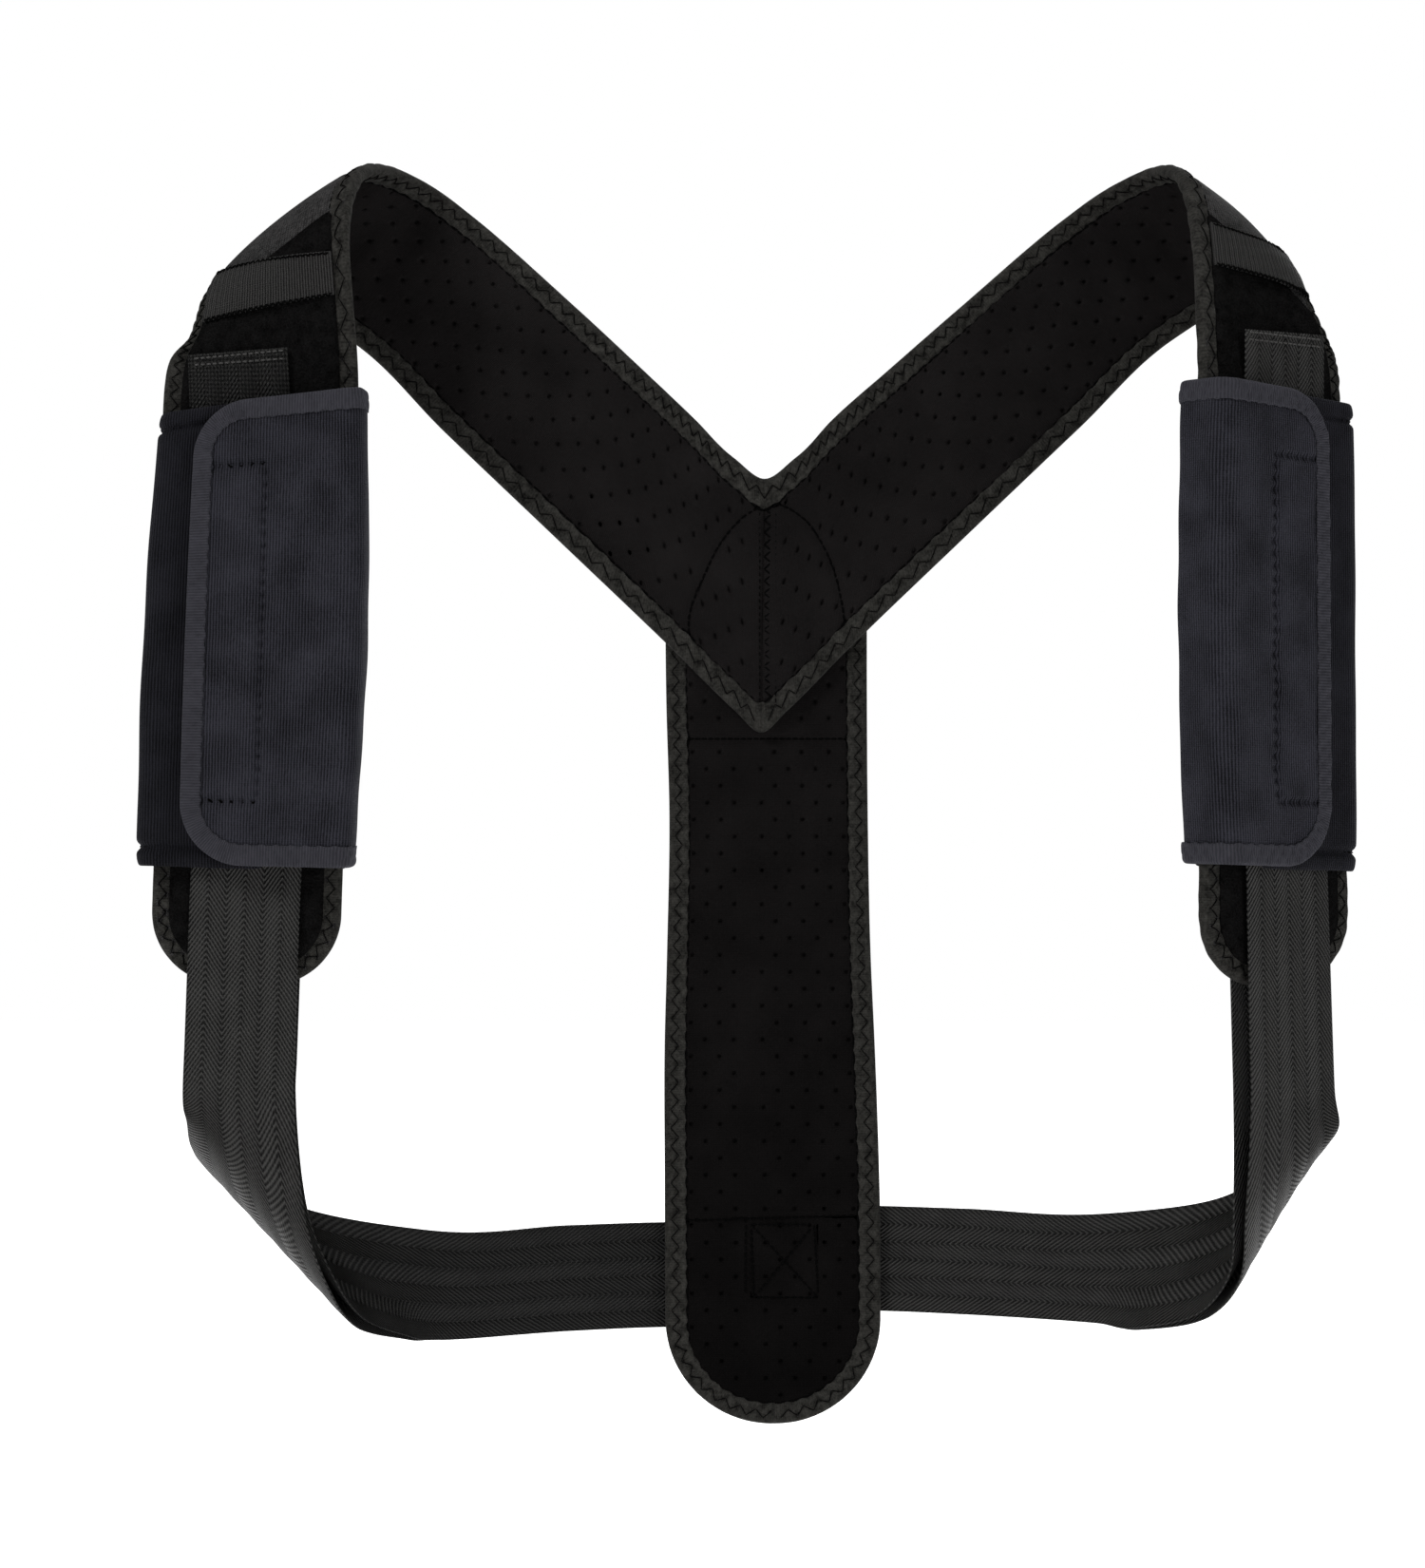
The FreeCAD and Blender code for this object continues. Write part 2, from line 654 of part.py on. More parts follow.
os.makedirs("parts", exist_ok=True)
for node in nodes:
    node.Shape.exportStep("parts/%s.step" % node.Label)
    print("%-22s %10.1f mm3  %d solid(s)" % (node.Label, node.Shape.Volume, len(node.Shape.Solids)))
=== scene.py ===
import json
import math

import bmesh
import bpy
import numpy as np
from bpy.props import FloatProperty, FloatVectorProperty, IntProperty, PointerProperty
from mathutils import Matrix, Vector
from mathutils.bvhtree import BVHTree


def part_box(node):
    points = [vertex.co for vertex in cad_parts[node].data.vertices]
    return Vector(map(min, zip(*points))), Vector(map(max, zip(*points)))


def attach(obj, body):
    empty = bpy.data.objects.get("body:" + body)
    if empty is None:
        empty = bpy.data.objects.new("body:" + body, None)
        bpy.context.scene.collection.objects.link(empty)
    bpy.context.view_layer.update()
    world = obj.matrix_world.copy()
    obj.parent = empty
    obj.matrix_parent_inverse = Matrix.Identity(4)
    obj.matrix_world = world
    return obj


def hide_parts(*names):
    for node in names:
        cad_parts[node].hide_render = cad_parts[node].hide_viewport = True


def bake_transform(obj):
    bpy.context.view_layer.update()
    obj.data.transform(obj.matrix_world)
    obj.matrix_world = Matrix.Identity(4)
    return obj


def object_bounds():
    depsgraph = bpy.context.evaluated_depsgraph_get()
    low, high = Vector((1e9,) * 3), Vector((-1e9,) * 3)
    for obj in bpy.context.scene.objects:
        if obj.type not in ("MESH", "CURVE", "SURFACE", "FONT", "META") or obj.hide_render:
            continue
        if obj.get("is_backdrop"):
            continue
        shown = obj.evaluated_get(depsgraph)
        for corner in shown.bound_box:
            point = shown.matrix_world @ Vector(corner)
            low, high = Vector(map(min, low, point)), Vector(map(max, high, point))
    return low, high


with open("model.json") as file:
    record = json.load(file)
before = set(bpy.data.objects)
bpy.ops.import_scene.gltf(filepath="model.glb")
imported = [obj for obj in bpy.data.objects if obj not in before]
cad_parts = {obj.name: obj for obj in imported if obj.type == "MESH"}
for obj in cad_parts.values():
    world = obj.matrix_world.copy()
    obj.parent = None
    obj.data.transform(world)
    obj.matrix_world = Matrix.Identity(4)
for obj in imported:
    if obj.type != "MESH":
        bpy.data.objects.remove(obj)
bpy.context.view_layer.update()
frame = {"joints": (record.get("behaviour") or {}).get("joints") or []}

bl_info = {
    "name": "Back Brace Pieces",
    "version": (1, 0, 0),
    "blender": (4, 5, 0),
    "location": "3D View > Sidebar > Brace",
    "description": "Makes the cloth, webbing, pads and stage of a posture brace round its fixed frame",
    "category": "Add Mesh",
}

# Shapes are worked out in millimetres and turned into metres when a piece is made.
# Left and right are the wearer's; the wearer faces -Y, and +Z is up.
MM = 0.001
SIDES = (("right", -1), ("left", 1))


# ---- settings ----------------------------------------------------------------------------

def length(name, text, default):
    return FloatProperty(name=name, description=text, default=default * MM, min=0.0, unit="LENGTH",
                         precision=5)


def colour(name, text, default):
    return FloatVectorProperty(name=name, description=text, default=default, size=3, min=0.0, max=1.0,
                               subtype="COLOR")


class BRACE_PG_sheet(bpy.types.PropertyGroup):
    core: length("Core", "Thickness of the foam core", 3.0)
    skin: length("Skin", "Thickness of the cloth on each face of the core", 1.2)
    arm_width: length("Arm width", "Width of a shoulder arm", 65.6)
    leg_length: length("Front leg", "Length of an arm's flat front leg", 214.0)
    leg_round: length("Leg corners", "Corner radius at the foot of a front leg", 25.0)
    hole_across: length("Hole pitch across", "Distance between holes in one row", 10.3)
    hole_along: length("Hole row pitch", "Distance between rows of holes", 6.2)
    hole_size: length("Hole", "Diameter of a ventilation hole", 1.7)
    lining: colour("Lining", "Colour of the perforated lining", (0.0068, 0.0061, 0.0061))
    spine_lining: colour("Spine lining", "Colour of the spine panel's lining", (0.0050, 0.0045, 0.0045))
    shell: colour("Shell", "Colour of the knitted outer face", (0.015, 0.0145, 0.0145))


class BRACE_PG_tape(bpy.types.PropertyGroup):
    width: length("Tape", "Width of the folded tape on each face", 7.6)
    rise: length("Rise", "How far the tape stands over the core", 1.15)
    pitch: length("Zigzag pitch", "Length of one zigzag of the binding stitch", 6.6)
    thread: length("Thread", "Diameter of the sewing thread", 0.76)
    cloth: colour("Tape colour", "Colour of the binding tape", (0.0165, 0.0160, 0.0145))
    # This near-black thread also draws the nearly unbroken seam lines that stand in as painted shade in the
    # creases.
    sewing: colour("Thread colour", "Colour of the sewing thread", (0.0010, 0.0010, 0.0010))


class BRACE_PG_webbing(bpy.types.PropertyGroup):
    width: length("Width", "Width of the webbing", 38.0)
    depth: length("Thickness", "Thickness of the webbing", 1.2)
    columns: IntProperty(name="Columns", description="Columns of the herringbone weave", default=6, min=2)
    yarn: colour("Yarn", "Colour of the webbing's raised yarns", (0.0225, 0.0221, 0.0212))
    elastic: colour("Elastic", "Colour of the keeper's elastic", (0.0160, 0.0156, 0.0152))
    fleece: colour("Fleece", "Colour of the loop fleece", (0.0034, 0.0033, 0.0033))
    hook: colour("Hook", "Colour of the moulded hook tape", (0.009, 0.009, 0.009))


class BRACE_PG_pad(bpy.types.PropertyGroup):
    wall: length("Wall", "Thickness of the pad's foam wall", 3.0)
    crown: length("Crown", "The most that a pad's outer face may swell", 1.6)
    tape: length("Tape", "Width of the flap's binding", 7.2)
    cloth: colour("Flap", "Colour of the pad's ribbed cloth", (0.0142, 0.0142, 0.0182))
    sleeve: colour("Sleeve", "Colour of the sleeve under the flap", (0.0062, 0.0062, 0.0080))
    edge: colour("Edge", "Colour of the flap's binding", (0.0225, 0.0222, 0.0270))


class BRACE_PG_stage(bpy.types.PropertyGroup):
    eye: FloatVectorProperty(name="Camera", description="Where the camera stands", size=3,
                             default=(-0.020, -1.5, 0.0656), subtype="TRANSLATION", unit="LENGTH")
    lens: FloatProperty(name="Lens", description="Focal length in millimetres", default=94.86, min=10.0)
    sky: FloatProperty(name="Sky", description="Strength of the white surroundings", default=0.12, min=0.0)
    key: FloatProperty(name="Key light", description="Power of the key light in watts", default=22.0, min=0.0)
    drop: length("Floor drop", "How far the floor lies under the brace", 25.0)


def settings(name):
    return getattr(bpy.context.scene, "brace_" + name)


def mm(value):
    """A setting kept in metres, in millimetres."""
    return value / MM


# ---- curves and sheets in space ------------------------------------------------------------

def smooth_curve(knots, values, at):
    """Smooth curve through the values at the knots, running straight on past both ends."""
    slopes = np.gradient(values, knots, axis=0)
    inside = np.clip(at, knots[0], knots[-1])
    i = np.clip(np.searchsorted(knots, inside, side="right") - 1, 0, len(knots) - 2)
    span = (knots[i + 1] - knots[i])[..., None]
    t = (inside - knots[i])[..., None] / span
    place = ((2 * t ** 3 - 3 * t ** 2 + 1) * values[i] + (t ** 3 - 2 * t ** 2 + t) * span * slopes[i]
             + (3 * t ** 2 - 2 * t ** 3) * values[i + 1] + (t ** 3 - t ** 2) * span * slopes[i + 1])
    beyond = (at - inside)[..., None]
    return place + beyond * np.where(beyond < 0, slopes[0], slopes[-1])


def unit(vectors):
    return vectors / np.maximum(np.linalg.norm(vectors, axis=-1, keepdims=True), 1e-9)


def bell(distance, reach):
    return np.exp(-(distance / reach) ** 2)


def ease(value, low, high):
    """0 below low, 1 above high and a smooth step between them."""
    t = np.clip((value - low) / (high - low), 0, 1)
    return t * t * (3 - 2 * t)


class Strip:
    """Strip of cloth through cross lines: s runs along it, a across it, out along its outer face."""

    def __init__(self, lines, width, outward, crown=None, lead=0):
        self.inner = np.array([line[0] for line in lines], float)
        self.outer = np.array([line[1] for line in lines], float)
        middle = (self.inner + self.outer) / 2
        steps = np.linalg.norm(np.diff(middle, axis=0), axis=1)
        self.knots = np.concatenate([[0.0], np.cumsum(steps)])
        self.knots -= self.knots[lead]
        self.length = self.knots[-1]
        self.width = width
        self.crown = crown
        self.sign = 1.0
        first = self.normal(np.array([0.0]))[0]
        self.sign = math.copysign(1.0, float(first @ np.array(outward, float)))

    def edges(self, s):
        return smooth_curve(self.knots, self.inner, s), smooth_curve(self.knots, self.outer, s)

    def normal(self, s):
        step = 3.0
        inner, outer = self.edges(s)
        before = sum(self.edges(s - step))
        after = sum(self.edges(s + step))
        return unit(np.cross(after - before, outer - inner) * self.sign)

    def at(self, s, a, out):
        s, a, out = np.broadcast_arrays(np.asarray(s, float), np.asarray(a, float), np.asarray(out, float))
        inner, outer = self.edges(s)
        share = a / self.width
        lift = out if self.crown is None else out + self.crown(s) * 4 * share * (1 - share)
        return inner + (outer - inner) * share[..., None] + self.normal(s) * lift[..., None]


class Plane:
    """Flat sheet: a frame of three directions; spread may narrow and shift it across for each s."""

    def __init__(self, origin, along, across, outward, spread=None):
        self.origin = np.array(origin, float)
        self.along, self.across, self.outward = (np.array(v, float) for v in (along, across, outward))
        self.spread = spread

    def at(self, s, a, out):
        s, a, out = np.broadcast_arrays(np.asarray(s, float), np.asarray(a, float), np.asarray(out, float))
        across = a if self.spread is None else self.spread(s, a)
        return (self.origin + s[..., None] * self.along + across[..., None] * self.across
                + out[..., None] * self.outward)


class Wrapped:
    """Sheet that follows a rounded path in a leg's X and Y, with s running down the leg."""

    def __init__(self, leg, corners, radii, warp):
        self.leg, self.warp = leg, warp
        path, inward, travel = outline_through(corners, radii, 0.25, False)
        self.path, self.facing, self.travel = path, -inward, travel
        self.length = travel[-1]

    def at(self, s, a, out):
        s, a, out = np.broadcast_arrays(np.asarray(s, float), np.asarray(a, float), np.asarray(out, float))
        held = np.clip(a, 0, self.length)
        spot = [np.interp(held, self.travel, self.path[:, i]) for i in (0, 1)]
        face = [np.interp(held, self.travel, self.facing[:, i]) for i in (0, 1)]
        x, y, z = self.warp(spot[0] + face[0] * out, spot[1] + face[1] * out, -s)
        return self.leg.place(x, y, z)


class Leg:
    """Frame of a front leg: x outward from the body's middle, y into the wearer, z up."""

    HINGE_DEPTH, HINGE_DROP = 5.3, 7.9      # where the tab's joint lies in the leg's own frame

    def __init__(self, name, side):
        joints = {joint["name"]: joint for joint in frame["joints"]}
        peel = joints[name + "_tab_peel"]
        self.up = -np.array(joints[name + "_pad_slide"]["axis"], float)
        right = np.array(peel["axis"], float)
        self.into = np.cross(self.up, right)
        self.outward = right * side
        self.origin = (np.array(peel["pos_m"], float) / MM + self.into * self.HINGE_DEPTH
                       + self.up * self.HINGE_DROP)

    def place(self, x, y, z):
        x, y, z = np.broadcast_arrays(x, y, z)
        return (self.origin + x[..., None] * self.outward + y[..., None] * self.into
                + z[..., None] * self.up)

    def point(self, x, y, z):
        """A point of the leg's frame, in metres."""
        return Vector(self.place(np.array(float(x)), np.array(float(y)), np.array(float(z))) * MM)

    def sheet(self, half=0.0):
        """The leg as a flat sheet: s down from its top, a outward from the inner edge or the middle."""
        corner = self.place(np.array(-half), np.array(0.0), np.array(0.0))
        return Plane(corner, -self.up, self.outward, -self.into)


# ---- outlines ------------------------------------------------------------------------------

def outline_through(corners, radii, step, closed):
    """Evenly spaced points through rounded corners, the normals to their left, and the travel."""
    corners = [np.array(corner, float) for corner in corners]
    points = []
    count = len(corners)
    for i, (corner, radius) in enumerate(zip(corners, radii)):
        if radius <= 0:
            points.append(corner)
            continue
        back = unit(corners[i - 1] - corner)
        ahead = unit(corners[(i + 1) % count] - corner)
        half_turn = math.acos(float(np.clip(back @ ahead, -1, 1))) / 2
        centre = corner + unit(back + ahead) * radius / math.sin(half_turn)
        start, finish = (corner + way * radius / math.tan(half_turn) - centre for way in (back, ahead))
        for share in np.linspace(0, 1, 25):
            mixed = start * (1 - share) + finish * share
            points.append(centre + unit(mixed) * radius)
    if closed:
        points.append(points[0])
    points = np.array(points)
    travel = np.concatenate([[0.0], np.cumsum(np.linalg.norm(np.diff(points, axis=0), axis=1))])
    places = np.linspace(0, travel[-1], max(2, int(round(travel[-1] / step)) + 1))
    path = np.stack([np.interp(places, travel, points[:, i]) for i in (0, 1)], axis=1)
    if closed:
        path = path[:-1]
        places = places[:-1]
        tangent = np.roll(path, -1, axis=0) - np.roll(path, 1, axis=0)
    else:
        tangent = np.gradient(path, axis=0)
    tangent = unit(tangent)
    return path, np.stack([-tangent[:, 1], tangent[:, 0]], axis=1), places


def box_outline(low, high, radii, step, closed):
    """Outline of a box in (s, a): up its low-a side, across its high-s end and back."""
    corners = [(low[0], low[1]), (high[0], low[1]), (high[0], high[1]), (low[0], high[1])]
    return outline_through(corners, radii, step, closed)


def corner_zones(s, a, low, high, radii):
    """For each rounded corner of a box: its centre, radius, the reach from it, and who lies past it."""
    for (far_s, far_a), radius in zip(((0, 0), (1, 0), (1, 1), (0, 1)), radii):
        if radius > 0:
            centre_s = high[0] - radius if far_s else low[0] + radius
            centre_a = high[1] - radius if far_a else low[1] + radius
            past = ((s - centre_s) * (1 if far_s else -1) > 0) & ((a - centre_a) * (1 if far_a else -1) > 0)
            yield centre_s, centre_a, radius, np.hypot(s - centre_s, a - centre_a), past


def edge_distance(s, a, low, high, radii):
    """Distance inside a box with rounded corners; negative outside."""
    distance = np.minimum(np.minimum(s - low[0], high[0] - s), np.minimum(a - low[1], high[1] - a))
    for _, _, radius, reach, past in corner_zones(s, a, low, high, radii):
        distance = np.where(past, np.minimum(distance, radius - reach), distance)
    return distance


def pulled_in(s, a, low, high, radii):
    """Move points past a rounded corner onto its arc."""
    for centre_s, centre_a, radius, reach, past in corner_zones(s, a, low, high, radii):
        scale = np.where(past & (reach > radius), radius / np.maximum(reach, 1e-9), 1.0)
        s = centre_s + (s - centre_s) * scale
        a = centre_a + (a - centre_a) * scale
    return s, a


# ---- building meshes -----------------------------------------------------------------------

class Piece:
    """Collects points in millimetres, faces and cloth coordinates, and makes them one object."""

    def __init__(self):
        self.points, self.cloth, self.faces = [], [], []
        self.count = 0

    def add(self, points, faces, cloth):
        """points (n, 3), faces a list of index lists or an array, cloth (n, 2) in millimetres."""
        self.points.append(np.asarray(points, float))
        self.cloth.append(np.asarray(cloth, float))
        shifted = (np.asarray(faces) + self.count).tolist() if isinstance(faces, np.ndarray) else [
            [index + self.count for index in face] for face in faces]
        self.faces.extend(shifted)
        self.count += len(points)

    def tube(self, grid, cloth, closed=False):
        """grid (n, m, 3): n rings of m points. Open tubes get an end face."""
        n, m = grid.shape[:2]
        i = np.arange(n if closed else n - 1)[:, None]
        j = np.arange(m)[None, :]
        ahead, beside = (i + 1) % n, (j + 1) % m
        quads = np.stack([i * m + j, i * m + beside, ahead * m + beside, ahead * m + j], axis=-1)
        faces = quads.reshape(-1, 4).tolist()
        if not closed:
            faces.append(list(range(m))[::-1])
            faces.append([(n - 1) * m + k for k in range(m)])
        self.add(grid.reshape(-1, 3), faces, cloth.reshape(-1, 2))

    def build(self, name, finish, body=None):
        """The object, in one finish, riding on a body if one is named."""
        mesh = bpy.data.meshes.new(name)
        points = np.concatenate(self.points) * MM
        cloth = np.concatenate(self.cloth) * MM
        mesh.from_pydata(points.tolist(), [], self.faces)
        layer = mesh.uv_layers.new(name="cloth")
        corner = np.zeros(len(mesh.loops), np.int32)
        mesh.loops.foreach_get("vertex_index", corner)
        layer.data.foreach_set("uv", cloth[corner].astype(np.float32).ravel())
        mesh.polygons.foreach_set("use_smooth", np.full(len(mesh.polygons), True))
        mesh.materials.append(material(finish))
        mesh.update()
        item = bpy.data.objects.new(name, mesh)
        bpy.context.scene.collection.objects.link(item)
        tidy_normals(item)
        if body:
            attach(item, body)
        return item


def tidy_normals(item):
    """Make every closed shell of the mesh face outward."""
    work = bmesh.new()
    work.from_mesh(item.data)
    bmesh.ops.recalc_face_normals(work, faces=work.faces)
    work.to_mesh(item.data)
    work.free()


def flat_cells(low, high, cell_s, cell_a, radii, is_holed=None, hole=0.0):
    """Cells of a rounded box in (s, a): welded points, faces, and each point's level in its hole."""
    rows = max(1, int(round((high[0] - low[0]) / cell_s)))
    columns = max(1, int(round((high[1] - low[1]) / cell_a)))
    step_s, step_a = (high[0] - low[0]) / rows, (high[1] - low[1]) / columns
    parts = 4 if is_holed else 1
    ticks = np.linspace(0, 1, parts + 1)
    grid = np.stack(np.meshgrid(ticks, ticks, indexing="ij"), axis=-1).reshape(-1, 2)
    wide = parts + 1
    plain = [[i * wide + j, i * wide + j + 1, (i + 1) * wide + j + 1, (i + 1) * wide + j]
             for i in range(parts) for j in range(parts)]
    around = [(t, 0.0) for t in ticks[:-1]] + [(1.0, t) for t in ticks[:-1]]
    around += [(1 - t, 1.0) for t in ticks[:-1]] + [(0.0, 1 - t) for t in ticks[:-1]]
    around = np.array(around)
    count = len(around)
    rings = 5
    holed = [[r * count + k, (r + 1) * count + k, (r + 1) * count + after, r * count + after]
             for r in range(rings - 1) for k, after in enumerate([*range(1, count), 0])]
    holed.append([(rings - 1) * count + k for k in range(count)][::-1])
    radius = hole / 2
    blocks, block_faces, base = [], [], 0
    for i in range(rows):
        for j in range(columns):
            corner = np.array([low[0] + i * step_s, low[1] + j * step_a])
            size = np.array([step_s, step_a])
            middle = corner + size / 2
            if is_holed and (i + j) % 2 == 0 and is_holed(*middle):
                rim = corner + around * size
                ray = unit(rim - middle)
                ring_sets = [rim, (rim + middle + ray * radius) / 2, middle + ray * radius,
                             middle + ray * radius * 0.82, middle + ray * radius * 0.6]
                levels = [0.0, 0.0, 0.12, 0.75, 1.0]
                block = np.concatenate([np.column_stack([ring, np.full(count, level)])
                                        for ring, level in zip(ring_sets, levels)])
                own = holed
            else:
                block = np.column_stack([corner + grid * size, np.zeros(len(grid))])
                own = plain
            blocks.append(block)
            block_faces.extend([[index + base for index in face] for face in own])
            base += len(block)
    table = np.concatenate(blocks)
    keys = np.round(table * 1000).astype(np.int64)
    _, first, inverse = np.unique(keys, axis=0, return_index=True, return_inverse=True)
    inverse = inverse.ravel()
    table = table[first]
    inside = edge_distance(table[:, 0], table[:, 1], low, high, radii) > 1e-6
    on_rim = edge_distance(table[:, 0], table[:, 1], low, high, radii) > -1e-6
    kept = []
    for face in block_faces:
        indices = [int(inverse[index]) for index in face]
        if any(inside[index] for index in indices) or all(on_rim[index] for index in indices):
            kept.append(indices)
    used = sorted({index for face in kept for index in face})
    renumber = {old: new for new, old in enumerate(used)}
    table = table[used]
    kept = [[renumber[index] for index in face] for face in kept]
    s, a = pulled_in(table[:, 0], table[:, 1], low, high, radii)
    return s, a, table[:, 2], kept


def rim_edges(faces):
    """Edges that belong to one face only, in that face's direction."""
    seen = {}
    for face in faces:
        for first, second in zip(face, face[1:] + face[:1]):
            seen[(first, second)] = True
    return [edge for edge in seen if (edge[1], edge[0]) not in seen]


def slab(piece, sheet, low, high, radii, cell, front, back, holes=None):
    """Closed sheet of cloth: front and back give the out level from (s, a); holes are sunk in the front."""
    if holes:
        s, a, level, faces = flat_cells(low, high, *cell, radii, holes["where"], holes["size"])
        bs, ba, _, back_faces = flat_cells(low, high, *cell, radii, lambda s0, a0: False)
        sunk = level * holes["depth"]
    else:
        s, a, sunk, faces = flat_cells(low, high, *cell, radii)
        bs, ba, back_faces = s, a, faces
    top = sheet.at(s, a, front(s, a) + sunk)
    bottom = sheet.at(bs, ba, back(bs, ba))
    front_keys, back_keys = (list(map(tuple, np.round(np.column_stack(pair) * 1000).astype(int).tolist()))
                             for pair in ((s, a), (bs, ba)))
    where = {key: index for index, key in enumerate(back_keys)}
    count = len(s)
    sides = []
    for first, second in rim_edges(faces):
        twins = [where[front_keys[i]] + count for i in (second, first)]
        sides.append([second, first] + twins[::-1])
    points = np.concatenate([top, bottom])
    piece.add(points, [], np.concatenate([np.column_stack([s, a]), np.column_stack([bs, ba])]))
    start = piece.count - len(points)
    for block, shift in ((faces, 0), ([face[::-1] for face in back_faces], count), (sides, 0)):
        piece.faces.extend([[index + start + shift for index in face] for face in block])


def cut_sheet(label, finish, body, sheet, low, high, radii, cell, front, back, holes=None):
    """A piece that is one slab."""
    piece = Piece()
    slab(piece, sheet, low, high, radii, cell, front, back, holes)
    return piece.build(label, finish, body)


def fold_tape(piece, sheet, path, inward, travel, width, core, rise, pitch, closed):
    """Tape folded over an edge, dimpled where its zigzag stitch pulls it down."""
    across = np.linspace(width, 2.2, 9)
    top_level = core + rise * (0.62 + 0.38 * np.sin(np.pi * np.clip(across / width, 0, 1)) ** 0.6)
    angles = np.linspace(0, math.pi, 11)[1:-1]
    bend = [(2.2 - 2.2 * math.sin(t), (core + rise) * math.cos(t)) for t in angles]
    profile = [(d, h) for d, h in zip(across, top_level)] + bend
    profile += [(d, -h) for d, h in zip(across[::-1], top_level[::-1])]
    profile += [(width, -core * 0.9), (0.9, -core * 0.9), (0.9, core * 0.9), (width, core * 0.9)]
    depth_in = np.array([d for d, _ in profile])
    level = np.array([h for _, h in profile])
    outer = np.arange(len(profile)) < len(profile) - 4
    t = travel[:, None]
    phase = 2 * math.pi * t / pitch
    d = depth_in[None, :] + 0.4 * np.cos(phase) * ((depth_in > width - 1.2) & outer)[None, :]
    dip = np.zeros_like(t * depth_in[None, :])
    for shift, centre in ((0.0, 0.68), (0.5, 0.30)):
        offset = (t / pitch + shift + 0.5) % 1 - 0.5
        dip += bell(np.hypot(offset * pitch, depth_in[None, :] - centre * width), 1.3)
    swell = 0.12 * np.sin(phase * 0.37 + 1.3) + 0.08 * np.sin(phase * 0.83)
    h = level[None, :] - np.sign(level)[None, :] * outer[None, :] * (0.85 * dip - swell * (rise > 0.5))
    s = path[:, 0:1] + inward[:, 0:1] * d
    a = path[:, 1:2] + inward[:, 1:2] * d
    around = np.concatenate([[0.0], np.cumsum(np.hypot(np.diff(depth_in), np.diff(level)))])
    cloth = np.stack([t + 0 * d, around[None, :] + 0 * d], axis=-1)
    piece.tube(sheet.at(s, a, h), cloth, closed)


def stitches(piece, sheet, starts, ends, level, radius, sink=0.45):
    """A short thread from each start to each end, dipping into the cloth at both; level is its height."""
    starts, ends = np.asarray(starts, float), np.asarray(ends, float)
    if not len(starts):
        return
    shares = np.array([0.0, 0.12, 0.35, 0.65, 0.88, 1.0])
    arch = np.array([-1.0, -0.25, 0.12, 0.12, -0.25, -1.0]) * sink
    girth = np.array([0.55, 0.9, 1.0, 1.0, 0.9, 0.55]) * radius
    spots = starts[:, None, :] * (1 - shares[None, :, None]) + ends[:, None, :] * shares[None, :, None]
    level = np.broadcast_to(np.asarray(level, float).reshape(-1, 1), spots.shape[:2])
    way = np.sign(level[:, :1])
    height = level + way * arch[None, :]
    core = sheet.at(spots[..., 0], spots[..., 1], height)
    face = unit(sheet.at(spots[..., 0], spots[..., 1], height + 1.0) - core)
    run = unit(core[:, -1:] - core[:, :1])
    beside = unit(np.cross(run, face))
    angles = np.linspace(0, 2 * math.pi, 6, endpoint=False)
    rings = core[:, :, None, :] + girth[None, :, None, None] * (
        np.cos(angles)[None, None, :, None] * face[:, :, None, :]
        + np.sin(angles)[None, None, :, None] * beside[:, :, None, :])
    count, steps, sides = rings.shape[:3]
    r = np.arange(steps - 1)[:, None]
    k = np.arange(sides)[None, :]
    quads = np.stack([r * sides + k, r * sides + (k + 1) % sides, (r + 1) * sides + (k + 1) % sides,
                      (r + 1) * sides + k], axis=-1).reshape(-1, 4)
    base = (np.arange(count) * steps * sides)[:, None, None]
    faces = (quads[None] + base).reshape(-1, 4).tolist()
    for n in range(count):
        first = n * steps * sides
        faces.append([first + i for i in range(sides)][::-1])
        faces.append([first + (steps - 1) * sides + i for i in range(sides)])
    reach = np.linalg.norm(ends - starts, axis=1)[:, None, None]
    cloth = np.stack(np.broadcast_arrays(shares[None, :, None] * reach, angles[None, None, :] * radius),
                     axis=-1)
    piece.add(rings.reshape(-1, 3), faces, cloth.reshape(-1, 2))


def surface_levels(item, sheet, spots, reach):
    """How far the item's face stands off the sheet at each spot, on the side that reach points to."""
    tree = BVHTree.FromObject(item, bpy.context.evaluated_depsgraph_get())
    base = sheet.at(spots[:, 0], spots[:, 1], 0 * spots[:, 0]) * MM
    far = sheet.at(spots[:, 0], spots[:, 1], 0 * spots[:, 0] + reach) * MM
    levels = []
    for low, high in zip(base, far):
        ray = Vector(low - high).normalized()
        hit = tree.ray_cast(Vector(high), ray, abs(reach) * MM * 1.2)
        levels.append(math.copysign(abs(reach) - hit[3] / MM, reach) if hit[0] is not None else 0.0)
    return np.array(levels)


def sewn_on(piece, item, sheet, starts, ends, radius, proud=0.05, reach=9.0):
    """Stitches laid on an item's face as it has come out."""
    level = surface_levels(item, sheet, (starts + ends) / 2, reach)
    keep = abs(level) > 0.2
    stitches(piece, sheet, starts[keep], ends[keep], level[keep] + math.copysign(proud, reach), radius)


ZIGZAG_THREAD = 0.52     # thickness of the binding's zigzag, as a share of the seams' thread


